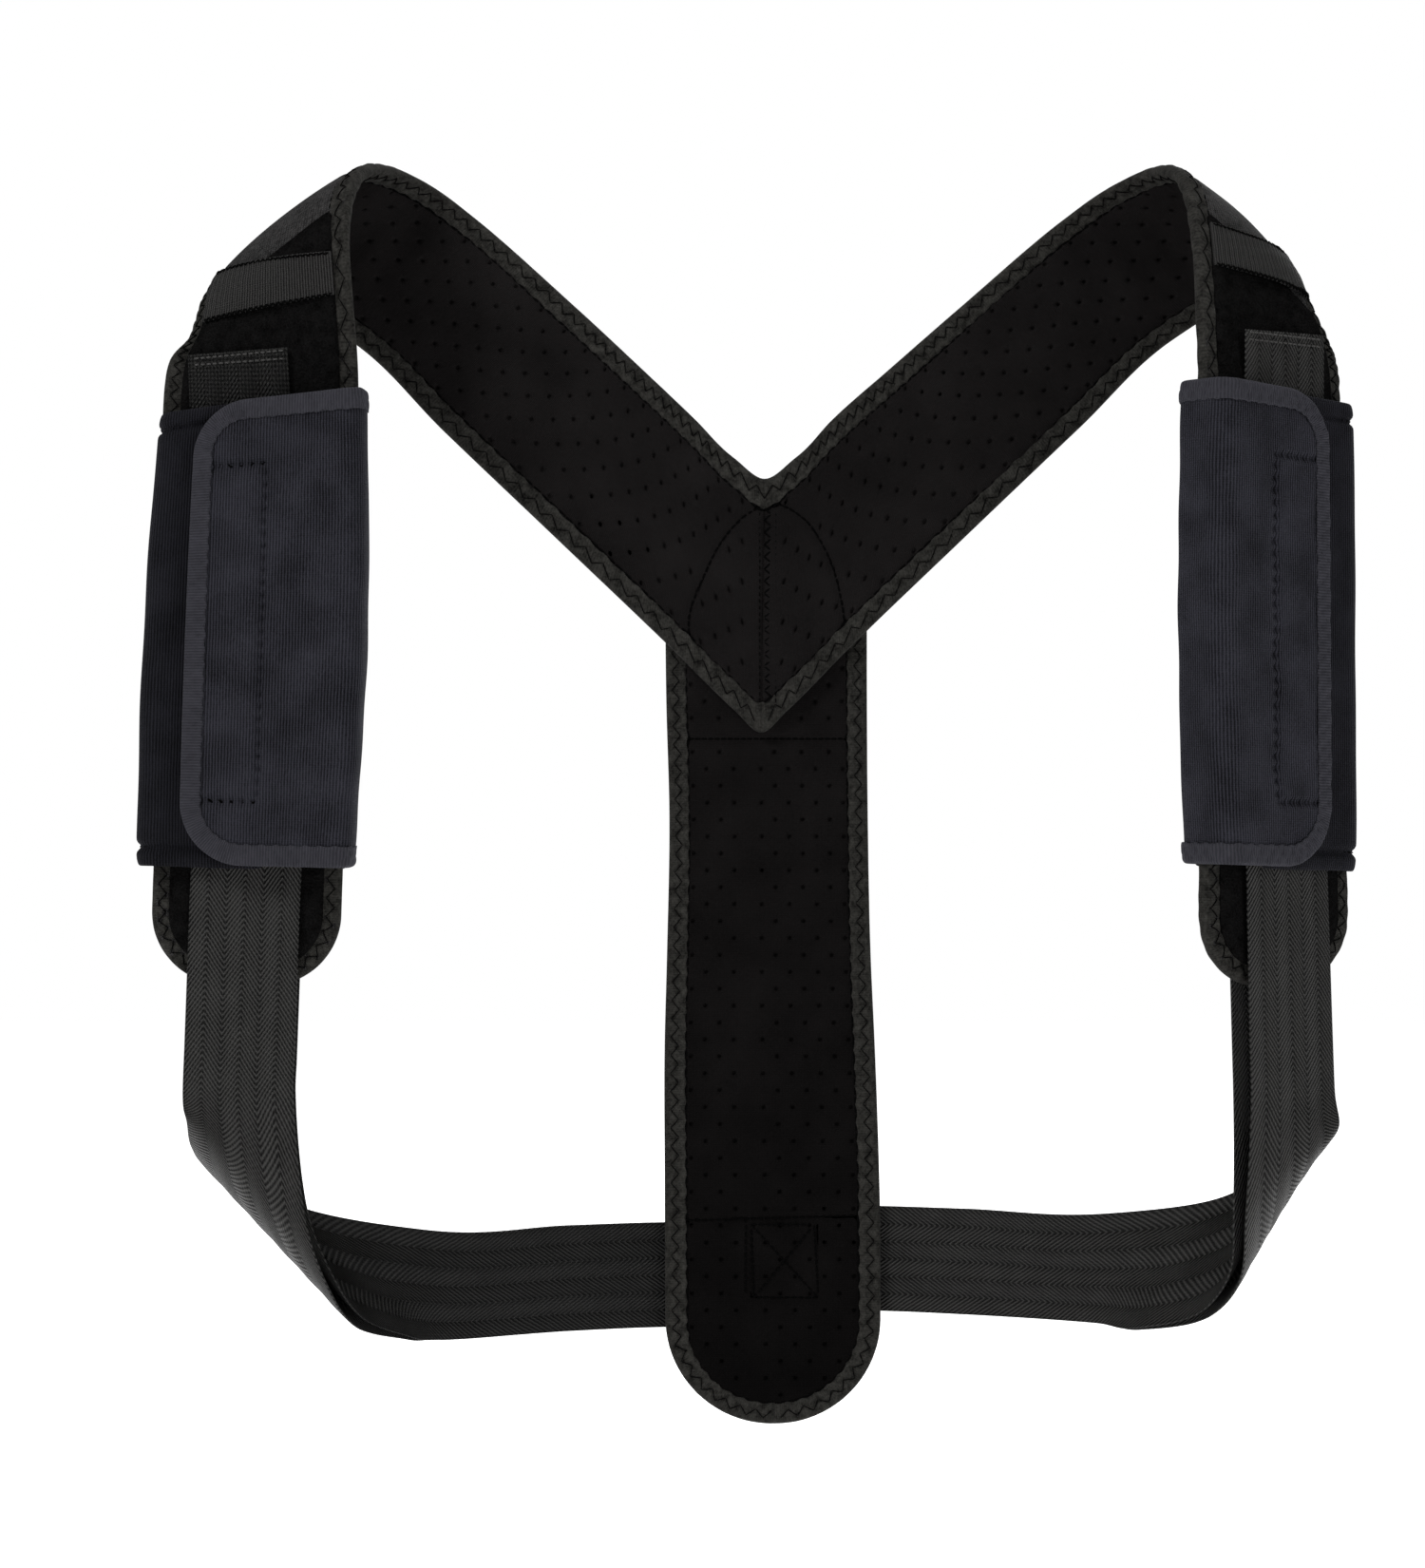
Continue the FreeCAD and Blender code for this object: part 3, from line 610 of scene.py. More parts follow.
def zigzag(path, inward, travel, pitch, near, far):
    """Starts and ends of a zigzag that runs beside a path, between two distances in from it."""
    turns = np.arange(travel[0], travel[-1], pitch / 2)
    spot = np.stack([np.interp(turns, travel, path[:, i]) for i in (0, 1)], axis=1)
    way = np.stack([np.interp(turns, travel, inward[:, i]) for i in (0, 1)], axis=1)
    depth = np.where(np.arange(len(turns)) % 2 == 0, far, near)[:, None]
    points = spot + way * depth
    return points[:-1], points[1:]


def running(path, travel, pitch, share=0.68):
    """Starts and ends of a plain running stitch on a path."""
    begins = np.arange(travel[0], travel[-1] - pitch * share, pitch)

    def spot(place):
        return np.stack([np.interp(place, travel, path[:, i]) for i in (0, 1)], axis=1)
    return spot(begins), spot(begins + pitch * share)


def seam_and_crease_shade(piece, sheet, path, inward, travel, width, face, radius):
    """The seam along a tape's inner border, on both faces, drawn as nearly unbroken dark thread: partly the real
    stitching, partly painted shade for the dark line in the crease.
    """
    starts, ends = running(path + inward * (width + 0.45), travel, 3.3, 0.92)
    for level in (-face + 0.75, face - 0.75):
        stitches(piece, sheet, starts, ends, level, radius, 0.25)


def polyline(points, step=0.5):
    path, inward, travel = outline_through(points, [0] * len(points), step, False)
    return path, inward, travel


# ---- materials -----------------------------------------------------------------------------

class Cloth:
    """Node material for one finish, whose weave is drawn in the cloth's own coordinates."""

    def __init__(self, name, tint, rough=0.85, specular=0.12, sheen=0.0, sheen_rough=0.5,
                 sheen_tint=(1, 1, 1)):
        self.material = bpy.data.materials.new(name)
        self.material.use_nodes = True
        self.tree = self.material.node_tree
        self.surface = self.tree.nodes["Principled BSDF"]
        self.surface.inputs["Roughness"].default_value = rough
        self.surface.inputs["Specular IOR Level"].default_value = specular
        self.surface.inputs["Sheen Weight"].default_value = sheen
        self.surface.inputs["Sheen Roughness"].default_value = sheen_rough
        self.surface.inputs["Sheen Tint"].default_value = (*sheen_tint, 1)
        self.tint = tint
        uv = self.tree.nodes.new("ShaderNodeUVMap")
        uv.uv_map = "cloth"
        split = self.tree.nodes.new("ShaderNodeSeparateXYZ")
        self.tree.links.new(uv.outputs["UV"], split.inputs[0])
        self.along = self.maths("MULTIPLY", split.outputs[0], 1 / MM)
        self.across = self.maths("MULTIPLY", split.outputs[1], 1 / MM)

    def maths(self, operation, first, second=0.0, third=0.0):
        node = self.tree.nodes.new("ShaderNodeMath")
        node.operation = operation
        for socket, value in zip(node.inputs, (first, second, third)):
            if isinstance(value, (int, float)):
                socket.default_value = value
            else:
                self.tree.links.new(value, socket)
        return node.outputs[0]

    def wave(self, value, pitch, phase=0.0):
        """Sine of a length in millimetres, between 0 and 1."""
        angle = self.maths("MULTIPLY_ADD", value, 2 * math.pi / pitch, phase)
        return self.maths("MULTIPLY_ADD", self.maths("SINE", angle), 0.5, 0.5)

    def noise(self, size, detail=3.0):
        """Noise whose grains measure about size millimetres."""
        coordinates = self.tree.nodes.new("ShaderNodeTexCoord")
        node = self.tree.nodes.new("ShaderNodeTexNoise")
        node.inputs["Scale"].default_value = 1 / (size * MM)
        node.inputs["Detail"].default_value = detail
        self.tree.links.new(coordinates.outputs["Object"], node.inputs["Vector"])
        return node.outputs["Fac"]

    def painted_run_shade(self):
        """Share of its colour that webbing keeps under painted shade: the runs behind the wearer, the right side's
        most, are darkened to stand in for the shade they lie in.
        """
        coordinates = self.tree.nodes.new("ShaderNodeTexCoord")
        split = self.tree.nodes.new("ShaderNodeSeparateXYZ")
        self.tree.links.new(coordinates.outputs["Object"], split.inputs[0])
        behind = self.tree.nodes.new("ShaderNodeMapRange")
        behind.interpolation_type = "SMOOTHSTEP"
        behind.inputs["From Min"].default_value, behind.inputs["From Max"].default_value = RUN_SHADE_FROM
        self.tree.links.new(split.outputs[1], behind.inputs["Value"])
        right = self.maths("LESS_THAN", split.outputs[0], 0.0)
        loss = self.maths("MULTIPLY_ADD", right, 0.24, 0.18)
        return self.maths("SUBTRACT", 1.0, self.maths("MULTIPLY", behind.outputs["Result"], loss))

    def mixed(self, parts):
        """Sum of (socket, weight) pairs."""
        total = None
        for socket, weight in parts:
            total = self.maths("MULTIPLY", socket, weight) if total is None else self.maths(
                "MULTIPLY_ADD", socket, weight, total)
        return total

    def ramp(self, value, stops):
        node = self.tree.nodes.new("ShaderNodeValToRGB")
        for element, (place, shade) in zip(node.color_ramp.elements, stops):
            element.position = place
            element.color = tuple(channel * shade for channel in self.tint) + (1,)
        self.tree.links.new(value, node.inputs[0])
        return node.outputs[0]

    def finish(self, shade, height, depth, dark=0.55, light=1.35, low=0.25, high=0.75):
        """Colour from the shade between dark and light tints, and relief of depth millimetres."""
        self.tree.links.new(self.ramp(shade, ((low, dark), (high, light))), self.surface.inputs["Base Color"])
        bump = self.tree.nodes.new("ShaderNodeBump")
        bump.inputs["Strength"].default_value = 1.0
        bump.inputs["Distance"].default_value = depth * MM
        self.tree.links.new(height, bump.inputs["Height"])
        self.tree.links.new(bump.outputs[0], self.surface.inputs["Normal"])
        return self.material


RUN_SHADE_FROM = (-76 * MM, -52 * MM)     # depths between which painted shade darkens the webbing's runs behind the wearer
MATERIALS = {}


def material(name):
    if name not in MATERIALS:
        MATERIALS[name] = FINISHES[name](name)
    return MATERIALS[name]


def lining_knit(cloth):
    """Shade and relief of the lining's fine knit."""
    knit = cloth.maths("MULTIPLY", cloth.wave(cloth.along, 0.62), cloth.wave(cloth.across, 0.5))
    grain = cloth.noise(0.5, 4)
    return (cloth.mixed([(knit, 0.3), (grain, 0.35), (cloth.noise(24, 3), 0.45)]),
            cloth.mixed([(knit, 0.6), (grain, 0.5)]))


def lining_cloth(name):
    cloth = Cloth(name, settings("sheet").lining, rough=0.7, specular=0.015, sheen_rough=0.6)
    shade, relief = lining_knit(cloth)
    return cloth.finish(shade, relief, 0.16, dark=0.5, light=1.5, low=0.32, high=0.72)


def spine_lining_cloth(name):
    """The same knit in a darker tint, with painted shade that deepens towards the foot of the panel."""
    cloth = Cloth(name, settings("sheet").spine_lining, rough=0.75, specular=0.01, sheen_rough=0.6)
    shade, relief = lining_knit(cloth)
    # painted shade: the knit darkens towards the foot, where less light falls
    deeper = cloth.maths("MULTIPLY_ADD", cloth.along, 0.0019, 0.88)
    shade = cloth.maths("MULTIPLY", shade, deeper)
    return cloth.finish(shade, relief, 0.16, dark=0.3, light=1.6, low=0.22, high=0.72)


def shell_cloth(name):
    cloth = Cloth(name, settings("sheet").shell, rough=0.9, specular=0.03, sheen=0.05, sheen_rough=0.45)
    columns = cloth.wave(cloth.across, 1.15)
    loops = cloth.wave(cloth.maths("ADD", cloth.along, cloth.maths("MULTIPLY", columns, 0.5)), 0.9)
    knit = cloth.maths("MULTIPLY", columns, loops)
    fuzz = cloth.noise(1.7, 5)
    patches = cloth.noise(16, 4)
    shade = cloth.mixed([(knit, 0.25), (fuzz, 0.65), (patches, 0.35)])
    relief = cloth.mixed([(knit, 0.4), (fuzz, 0.9)])
    return cloth.finish(shade, relief, 0.6, dark=0.15, light=2.2, low=0.4, high=0.78)


def tape_cloth(name):
    cloth = Cloth(name, settings("tape").cloth, rough=0.92, specular=0.03, sheen=0.02, sheen_rough=0.5)
    ribs = cloth.wave(cloth.along, 0.85)
    fuzz = cloth.noise(0.9, 5)
    clumps = cloth.noise(3.2, 3)
    shade = cloth.mixed([(ribs, 0.06), (fuzz, 0.5), (clumps, 0.55)])
    relief = cloth.mixed([(ribs, 0.1), (fuzz, 0.9)])
    return cloth.finish(shade, relief, 0.5, dark=0.2, light=1.8, low=0.36, high=0.76)


def thread_cloth(name):
    cloth = Cloth(name, settings("tape").sewing, rough=0.8, specular=0.02)
    twist = cloth.wave(cloth.maths("ADD", cloth.along, cloth.maths("MULTIPLY", cloth.across, 0.8)), 0.5)
    return cloth.finish(twist, twist, 0.05, dark=0.6, light=1.4)


def webbing_cloth(name, tab=False):
    values = settings("webbing")
    cloth = Cloth(name, values.yarn, rough=0.45, specular=0.09)
    column = mm(values.width) / values.columns
    drift = cloth.noise(9, 2)
    place = cloth.maths("DIVIDE", cloth.across, column)
    side = cloth.maths("PINGPONG", place, 1.0)
    slanted = cloth.maths("MULTIPLY_ADD", side, column * 1.45, cloth.along)
    slanted = cloth.maths("MULTIPLY_ADD", drift, 1.2, slanted)
    twill = cloth.wave(slanted, 2.05)
    warp = cloth.wave(cloth.across, 0.9)
    groove = cloth.maths("POWER", cloth.wave(cloth.across, column, math.pi / 2), 3.0)
    wear = cloth.noise(11, 4)
    fuzz = cloth.noise(0.7, 3)
    weft = cloth.wave(cloth.along, 0.95)
    shade = cloth.mixed([(twill, 0.62), (warp, 0.1), (weft, 0.06), (wear, 0.3), (fuzz, 0.25),
                         (groove, -0.12)])
    if tab:
        grid = cloth.mixed([(cloth.wave(cloth.along, 1.5), 0.22), (cloth.wave(cloth.across, 1.3), 0.22),
                            (fuzz, 0.3)])
        here = cloth.maths("LESS_THAN", cloth.along, 60.0)
        there = cloth.maths("SUBTRACT", 1.0, here)
        shade = cloth.maths("ADD", cloth.maths("MULTIPLY", shade, there), cloth.maths("MULTIPLY", grid, here))
    height = cloth.mixed([(twill, 0.9), (warp, 0.25), (groove, -0.6), (fuzz, 0.15)])
    # painted shade: the runs behind the wearer are darkened
    shade = cloth.maths("MULTIPLY", shade, cloth.painted_run_shade())
    return cloth.finish(shade, height, 0.5, dark=0.05, light=1.5, low=0.28, high=0.92)


def webbing_tab_cloth(name):
    return webbing_cloth(name, tab=True)


def hem_thread_cloth(name):
    cloth = Cloth(name, (0.032, 0.031, 0.030), rough=0.6, specular=0.2)
    twist = cloth.wave(cloth.along, 0.5)
    return cloth.finish(twist, twist, 0.05, dark=0.6, light=1.4)


def elastic_cloth(name):
    cloth = Cloth(name, settings("webbing").elastic, rough=0.75, specular=0.06, sheen=0.02)
    ribs = cloth.wave(cloth.across, 1.05)
    picks = cloth.wave(cloth.along, 0.8)
    fuzz = cloth.noise(0.8, 4)
    shade = cloth.mixed([(ribs, 0.6), (picks, 0.14), (fuzz, 0.4)])
    relief = cloth.mixed([(ribs, 0.8), (picks, 0.25), (fuzz, 0.3)])
    return cloth.finish(shade, relief, 0.5, dark=0.1, light=1.7)


def fleece_cloth(name):
    cloth = Cloth(name, settings("webbing").fleece, rough=1.0, specular=0.0, sheen_rough=0.7)
    nap = cloth.noise(0.8, 6)
    clumps = cloth.noise(4, 4)
    shade = cloth.mixed([(nap, 0.6), (clumps, 0.5)])
    return cloth.finish(shade, nap, 0.8, dark=0.4, light=2.0, low=0.35, high=0.8)


def hook_cloth(name):
    cloth = Cloth(name, settings("webbing").hook, rough=0.45, specular=0.4)
    teeth = cloth.maths("MULTIPLY", cloth.wave(cloth.along, 1.6), cloth.wave(cloth.across, 1.2))
    haze = cloth.noise(6, 3)
    return cloth.finish(cloth.mixed([(teeth, 0.7), (haze, 0.3)]), teeth, 0.5, dark=0.4, light=1.8)


BLUISH = (0.85, 0.87, 1.0)


def ribbed(name, tint, weight):
    """The pads' ribbed cloth; weight is the height of its ribs."""
    cloth = Cloth(name, tint, rough=0.88, specular=0.04, sheen=0.03, sheen_rough=0.4, sheen_tint=BLUISH)
    sway = cloth.noise(7, 2)
    ribs = cloth.wave(cloth.maths("MULTIPLY_ADD", sway, 0.5, cloth.across), 1.05)
    loops = cloth.wave(cloth.along, 0.75)
    fuzz = cloth.noise(0.6, 4)
    patches = cloth.noise(15, 4)
    shade = cloth.mixed([(ribs, 0.28), (loops, 0.08), (fuzz, 0.35), (patches, 0.42)])
    relief = cloth.mixed([(ribs, 0.8), (loops, 0.2), (fuzz, 0.35)])
    return cloth.finish(shade, relief, weight, dark=0.2, light=1.8, low=0.36, high=0.76)


def pad_cloth(name):
    return ribbed(name, settings("pad").cloth, 0.3)


def pad_sleeve_cloth(name):
    return ribbed(name, settings("pad").sleeve, 0.22)


def pad_edge_cloth(name):
    cloth = Cloth(name, settings("pad").edge, rough=0.88, specular=0.05, sheen=0.04, sheen_rough=0.45,
                  sheen_tint=BLUISH)
    ribs = cloth.wave(cloth.along, 1.0)
    fuzz = cloth.noise(0.7, 4)
    shade = cloth.mixed([(ribs, 0.35), (fuzz, 0.35), (cloth.noise(6, 3), 0.4)])
    return cloth.finish(shade, cloth.mixed([(ribs, 0.8), (fuzz, 0.4)]), 0.22, dark=0.6, light=1.35)


def floor_paint(name):
    paint = Cloth(name, (0.93, 0.93, 0.93), rough=0.7, specular=0.2)
    paint.surface.inputs["Emission Color"].default_value = (1, 1, 1, 1)
    paint.surface.inputs["Emission Strength"].default_value = 0.85
    cloud = paint.noise(180, 2)
    return paint.finish(cloud, paint.noise(3, 2), 0.02, dark=0.98, light=1.02)


FINISHES = {
    "lining": lining_cloth, "spine_lining": spine_lining_cloth, "shell": shell_cloth, "tape": tape_cloth,
    "thread": thread_cloth, "webbing": webbing_cloth, "webbing_tab": webbing_tab_cloth,
    "hem_thread": hem_thread_cloth, "elastic": elastic_cloth, "fleece": fleece_cloth, "hook": hook_cloth,
    "pad": pad_cloth, "pad_sleeve": pad_sleeve_cloth, "pad_edge": pad_edge_cloth, "floor": floor_paint,
}


# ---- shapes that several pieces share --------------------------------------------------------

# Half width of the spine panel, and how far its middle lies to the left, at each height.
SPINE_SHAPE = [(-167, 39.0, 2.1), (-81, 39.1, 1.7), (-29, 38.2, 0.8), (2, 37.1, 0.5), (54, 36.1, 0.4),
               (95, 36.5, -0.3), (168, 36.8, -0.5)]

# Cross lines of an arm, neck edge then armpit edge, from just past the centre seam to the front leg.
# The first lies past the seam, so that both edges turn level at the seam.
ARM_LINES = {
    "right": [
        ((-9.8, -2.9, 183.6), (-7.2, -2.9, 92.2)),
        ((1.1, -2.9, 176.2), (2.4, -2.9, 84.2)),
        ((12.0, -2.9, 183.6), (12, -2.9, 92.2)),
        ((26, -2.9, 197.4), (35, -2.9, 114.8)),
        ((46, -2.9, 216.4), (75, -2.9, 153.0)),
        ((71, -2.9, 239.6), (117, -2.9, 193)),
        ((105, -3.9, 269.6), (149.6, -3.9, 225)),
        ((121, -9.9, 281), (174, -8.9, 240)),
        ((132, -21.9, 285), (192, -20.9, 242)),
        ((139, -36.9, 284), (196.5, -36.9, 239.5)),
        ((144, -53.9, 277), (199, -52.0, 231.5)),
        ((146, -65.9, 262), (200.5, -63.5, 222)),
    ],
    "left": [
        ((-12.0, -2.9, 183.6), (-12.0, -2.9, 92.2)),
        ((-1.1, -2.9, 176.2), (-2.4, -2.9, 84.2)),
        ((9.8, -2.9, 183.6), (7.2, -2.9, 92.2)),
        ((23, -2.9, 197.2), (29.4, -2.9, 114.6)),
        ((44, -2.9, 215.8), (70.4, -2.9, 154.0)),
        ((70.6, -2.9, 239.0), (112.6, -2.9, 194.2)),
        ((106.4, -3.9, 269.4), (147, -3.9, 226.6)),
        ((123, -9.9, 280.6), (172, -8.9, 241)),
        ((134, -21.9, 284.6), (185, -19.9, 243)),
        ((140, -36.9, 283.6), (188, -34.9, 239)),
        ((144, -53.9, 277), (190, -47.9, 231)),
        ((146, -65.9, 262), (194, -53.9, 221)),
    ],
}
ARM_LEAD = 1
ARM_CREST = 8
LEG_STATIONS = (0, 60, 130, 214)
# How far outward a leg's inner and outer edges stray at its foot.
LEG_SWAY = {"right": (0.6, 0.6), "left": (-1.4, 4.2)}

# Cross lines of the front strap's turn under the pad, inner edge then outer edge.
STRAP_TURNS = {
    "right": [
        ((159.4, -74, -90), (201.4, -74, -51.5)),
        ((151.6, -62, -114), (201.3, -62, -60.5)),
        ((145.6, -48, -124.9), (198.3, -48, -68.2)),
        ((129.4, -36, -131.0), (171, -40, -83.5)),
    ],
    "left": [
        ((163, -83, -82), (198, -59, -55)),
        ((163, -66, -107), (192, -50, -63)),
        ((155, -50, -121), (182, -42, -71)),
        ((132, -34, -128), (160, -36, -82)),
    ],
}
# How far outward the strap's inner and outer edges stray: at the tab, and at the end of its flat part.
TAB_SWAY = {"right": (9.8, 6.2), "left": (2.6, 2.4)}
STRAP_SWAY = {"right": (1.2, 1.2), "left": (3.4, 5.6)}
RUN_START = ((118.5, -22, -127), (122, -22, -88))
RUN_BEND = (71.5, -2.0)
RUN_LEVEL = -107.4
RUN_DROP = {"right": 6.0, "left": 0.0}
NEST_GAPS = (8.5, 6, 5, 4, 3, 2, 1.5, 1.5)
NEST_SHIFT = (3.2, 2.6, 1.6, 0.8, 0, 0, 0, 0)
SPINE_REACH = 40.3
STRAP_DEPTH = 7.8
STRAP_END = 0.2
LEG_END = 251.0
REAR_START = 179.0
# Where each tab's free end starts, and how much lower its outer end is cut.
TAB_TOP = {"right": -6.4, "left": -11.6}
TAB_CUT = {"right": 3.6, "left": 0.0}
TAB_TURN = (-9.4, -6.6)     # heights on the leg between which the strap bends when its tab peels

# Depths of the middle of the foam: in the spine panel, and in the arms where they lie on it.
SPINE_MIDDLE, ARM_MIDDLE = 2.7, -2.9
# Levels over the middle of the foam on a front leg.
SHELL_LEVEL = 2.7
STRAP_LEVEL = 5.3
REAR_LEVEL = -3.5


def on_side(line, side):
    return [(point[0] * side, point[1], point[2]) for point in line]


def arm_strip(name, side):
    width = mm(settings("sheet").arm_width)
    leg = Leg(name, side)
    lines = [on_side(line, side) for line in ARM_LINES[name]]
    sway = LEG_SWAY[name]
    for drop in LEG_STATIONS:
        share = (drop / LEG_STATIONS[-1]) ** 2
        lines.append([leg.place(np.array(x + stray * share), np.array(0.0), np.array(-float(drop)))
                      for x, stray in zip((-width / 2, width / 2), sway)])
    strip = Strip(lines, width, (0, 1, 0), lead=ARM_LEAD)
    crest = strip.knots[ARM_CREST]
    strip.crown = lambda s: 5.2 * bell(s - crest, 34)
    strip.leg_top = strip.knots[len(lines) - len(LEG_STATIONS)]
    return strip


def spine_sheet():
    """The spine panel: s is the height, a the distance from its middle at the lower end's width."""
    low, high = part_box("spine_binding")
    bottom, top = low.z / MM, high.z / MM
    half = high.x / MM
    shape = np.array(SPINE_SHAPE, float)

    def spread(s, a):
        local = smooth_curve(shape[:, 0], shape[:, 1:], s)
        return a * local[..., 0] / half + local[..., 1]
    sheet = Plane((0, SPINE_MIDDLE, 0), (0, 0, 1), (1, 0, 0), (0, 1, 0), spread)
    low_corner, high_corner = (bottom, -half), (top, half)
    radii = (half - 0.6, 34.0, 34.0, half - 0.6)
    return sheet, low_corner, high_corner, radii


def inset_box(low, high, radii, margin):
    return ((low[0] + margin, low[1] + margin), (high[0] - margin, high[1] - margin),
            [max(radius - margin, 0) for radius in radii])


EGG = [(-27.5, 112), (-28.6, 125), (-23, 141), (-15.5, 155), (-7, 163.5), (2, 167.0), (12, 162.5), (21, 150),
       (27, 130), (28.3, 116)]


def egg_line():
    """Pointed arch in X and Z where the spine panel's top is sewn to the arms."""
    points = np.array(EGG, float)
    knots = np.concatenate([[0.0], np.cumsum(np.linalg.norm(np.diff(points, axis=0), axis=1))])
    places = np.linspace(0, knots[-1], 260)
    path = smooth_curve(knots, points, places)
    return path, places


def near_line(x, z, path):
    """Distance of points from a dense line."""
    spots = np.stack([x, z], axis=-1)
    nearest = np.full(len(spots), 1e9)
    for block in np.array_split(path, 8):
        gap = np.linalg.norm(spots[:, None, :] - block[None], axis=2).min(axis=1)
        nearest = np.minimum(nearest, gap)
    return nearest


def ripple(s, a, seed, size, height):
    """Gentle uneven relief made of a few crossing waves."""
    rng = np.random.default_rng(seed)
    total = 0.0
    for _ in range(6):
        turn = rng.uniform(0, 2 * math.pi)
        span = size * rng.uniform(0.7, 1.6)
        phase = rng.uniform(0, 2 * math.pi)
        total = total + np.sin((s * math.cos(turn) + a * math.sin(turn)) * 2 * math.pi / span + phase)
    return total * height / 6


# ---- spine panel -----------------------------------------------------------------------------

SEAM_HEIGHT = 82.0
LOWER_SEAM = -92.5
CROSS_BOX = (-121.0, -7.6, -94.4, 16.2)    # low s, low a, high s, high a


def make_spine():
    values, tape = settings("sheet"), settings("tape")
    sheet, low, high, radii = spine_sheet()
    core, skin = mm(values.core) / 2, mm(values.skin)
    width = mm(tape.width)

    def hem(s, a):
        return ease(edge_distance(s, a, low, high, radii), width - 0.6, width + 1.6)

    box_low, box_a, box_high, box_b = CROSS_BOX

    def creases(s, a):
        seams = bell(s - SEAM_HEIGHT - 0.15 * np.sin(a / 5), 1.2) + bell(s - LOWER_SEAM - 0.02 * a, 1.2)
        within_s = ease(s, box_low - 1, box_low) * (1 - ease(s, box_high, box_high + 1))
        within_a = ease(a, box_a - 1, box_a) * (1 - ease(a, box_b, box_b + 1))
        sides = within_s * (bell(a - box_a, 1.3) + bell(a - box_b, 1.3))
        return seams + sides + within_a * bell(s - box_low, 1.1)

    def front(s, a):
        rest = -(core + skin) - ripple(s, a, 11, 46, 0.35)
        return rest + (1 - hem(s, a)) * 1.15 + 1.2 * np.minimum(creases(s, a), 1)

    def back(s, a):
        return core + skin + ripple(s, a, 12, 50, 0.35) - (1 - hem(s, a)) * 0.75

    margin = 1.6
    inner_low, inner_high, inner_radii = inset_box(low, high, radii, margin)
    cells = (mm(values.hole_along), mm(values.hole_across) / 2)

    def holed(s, a):
        clear = edge_distance(np.array(s), np.array(a), low, high, radii) > width + 1.4
        seams = min(abs(s - SEAM_HEIGHT), abs(s - LOWER_SEAM)) > 1.6
        return bool(clear and seams and abs(a - box_a) > 1.3 and abs(a - box_b) > 1.3)

    holes = {"where": holed, "size": mm(values.hole_size), "depth": 1.0}
    lining = cut_sheet("spine_lining", "spine_lining", "harness", sheet, inner_low, inner_high,
                       inner_radii, cells, front, lambda s, a: -core + 0 * s, holes)
    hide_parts("spine_lining_lower", "spine_lining_upper")

    shell = cut_sheet("spine_shell_cloth", "shell", "harness", sheet, inner_low, inner_high, inner_radii,
                      (3, 3), back, lambda s, a: core + 0 * s)
    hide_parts("spine_shell")

    core_low, core_high, core_radii = inset_box(low, high, radii, 1.2)
    foam = cut_sheet("spine_core", "fleece", "harness", sheet, core_low, core_high, core_radii, (5, 5),
                     lambda s, a: core + 0 * s, lambda s, a: -core + 0 * s)
    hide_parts("spine_foam")

    panel = Piece()
    path, inward, travel = box_outline(low, high, radii, 1.0, True)
    pitch = (travel[-1] + 1.0) / round(travel[-1] / mm(tape.pitch))
    fold_tape(panel, sheet, path, inward, travel, width, core, mm(tape.rise), pitch, True)
    binding = panel.build("spine_tape", "tape", "harness")
    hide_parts("spine_binding")

    sewing = Piece()
    thread = mm(tape.thread) / 2
    starts, ends = zigzag(path, inward, travel, pitch, width * 0.30, width * 0.68)
    for level in (-(core + mm(tape.rise)), core + mm(tape.rise)):
        stitches(sewing, sheet, starts, ends, level, thread * ZIGZAG_THREAD)
    half = high[1] - width - 0.5
    corners = [(box_low, box_a + 0.8), (box_high, box_a), (box_high, box_b - 1.4), (box_low, box_b)]
    lines = [[(SEAM_HEIGHT, -half), (SEAM_HEIGHT, half)],
             [(LOWER_SEAM - 0.4, -half), (LOWER_SEAM + 1.4, half)],
             [(LOWER_SEAM - 0.6, -17), (LOWER_SEAM + 0.6, -13), (LOWER_SEAM + 0.4, -9.5), (box_low, -9.8)]]
    lines += [[first, second] for first, second in zip(corners, corners[1:] + corners[:1])]
    lines += [[corners[0], corners[2]], [corners[1], corners[3]]]
    # The seams are drawn as nearly unbroken dark thread: partly the real stitching, partly painted shade for the
    # dark line in their creases.
    for line in lines:
        run, _, distance = polyline(line)
        sewn_on(sewing, lining, sheet, *running(run, distance, 2.5, 0.92), thread, 0.12, -9.0)
    seam_and_crease_shade(sewing, sheet, path, inward, travel, width, core + skin, thread)
    threads = sewing.build("spine_stitching", "thread", "harness")


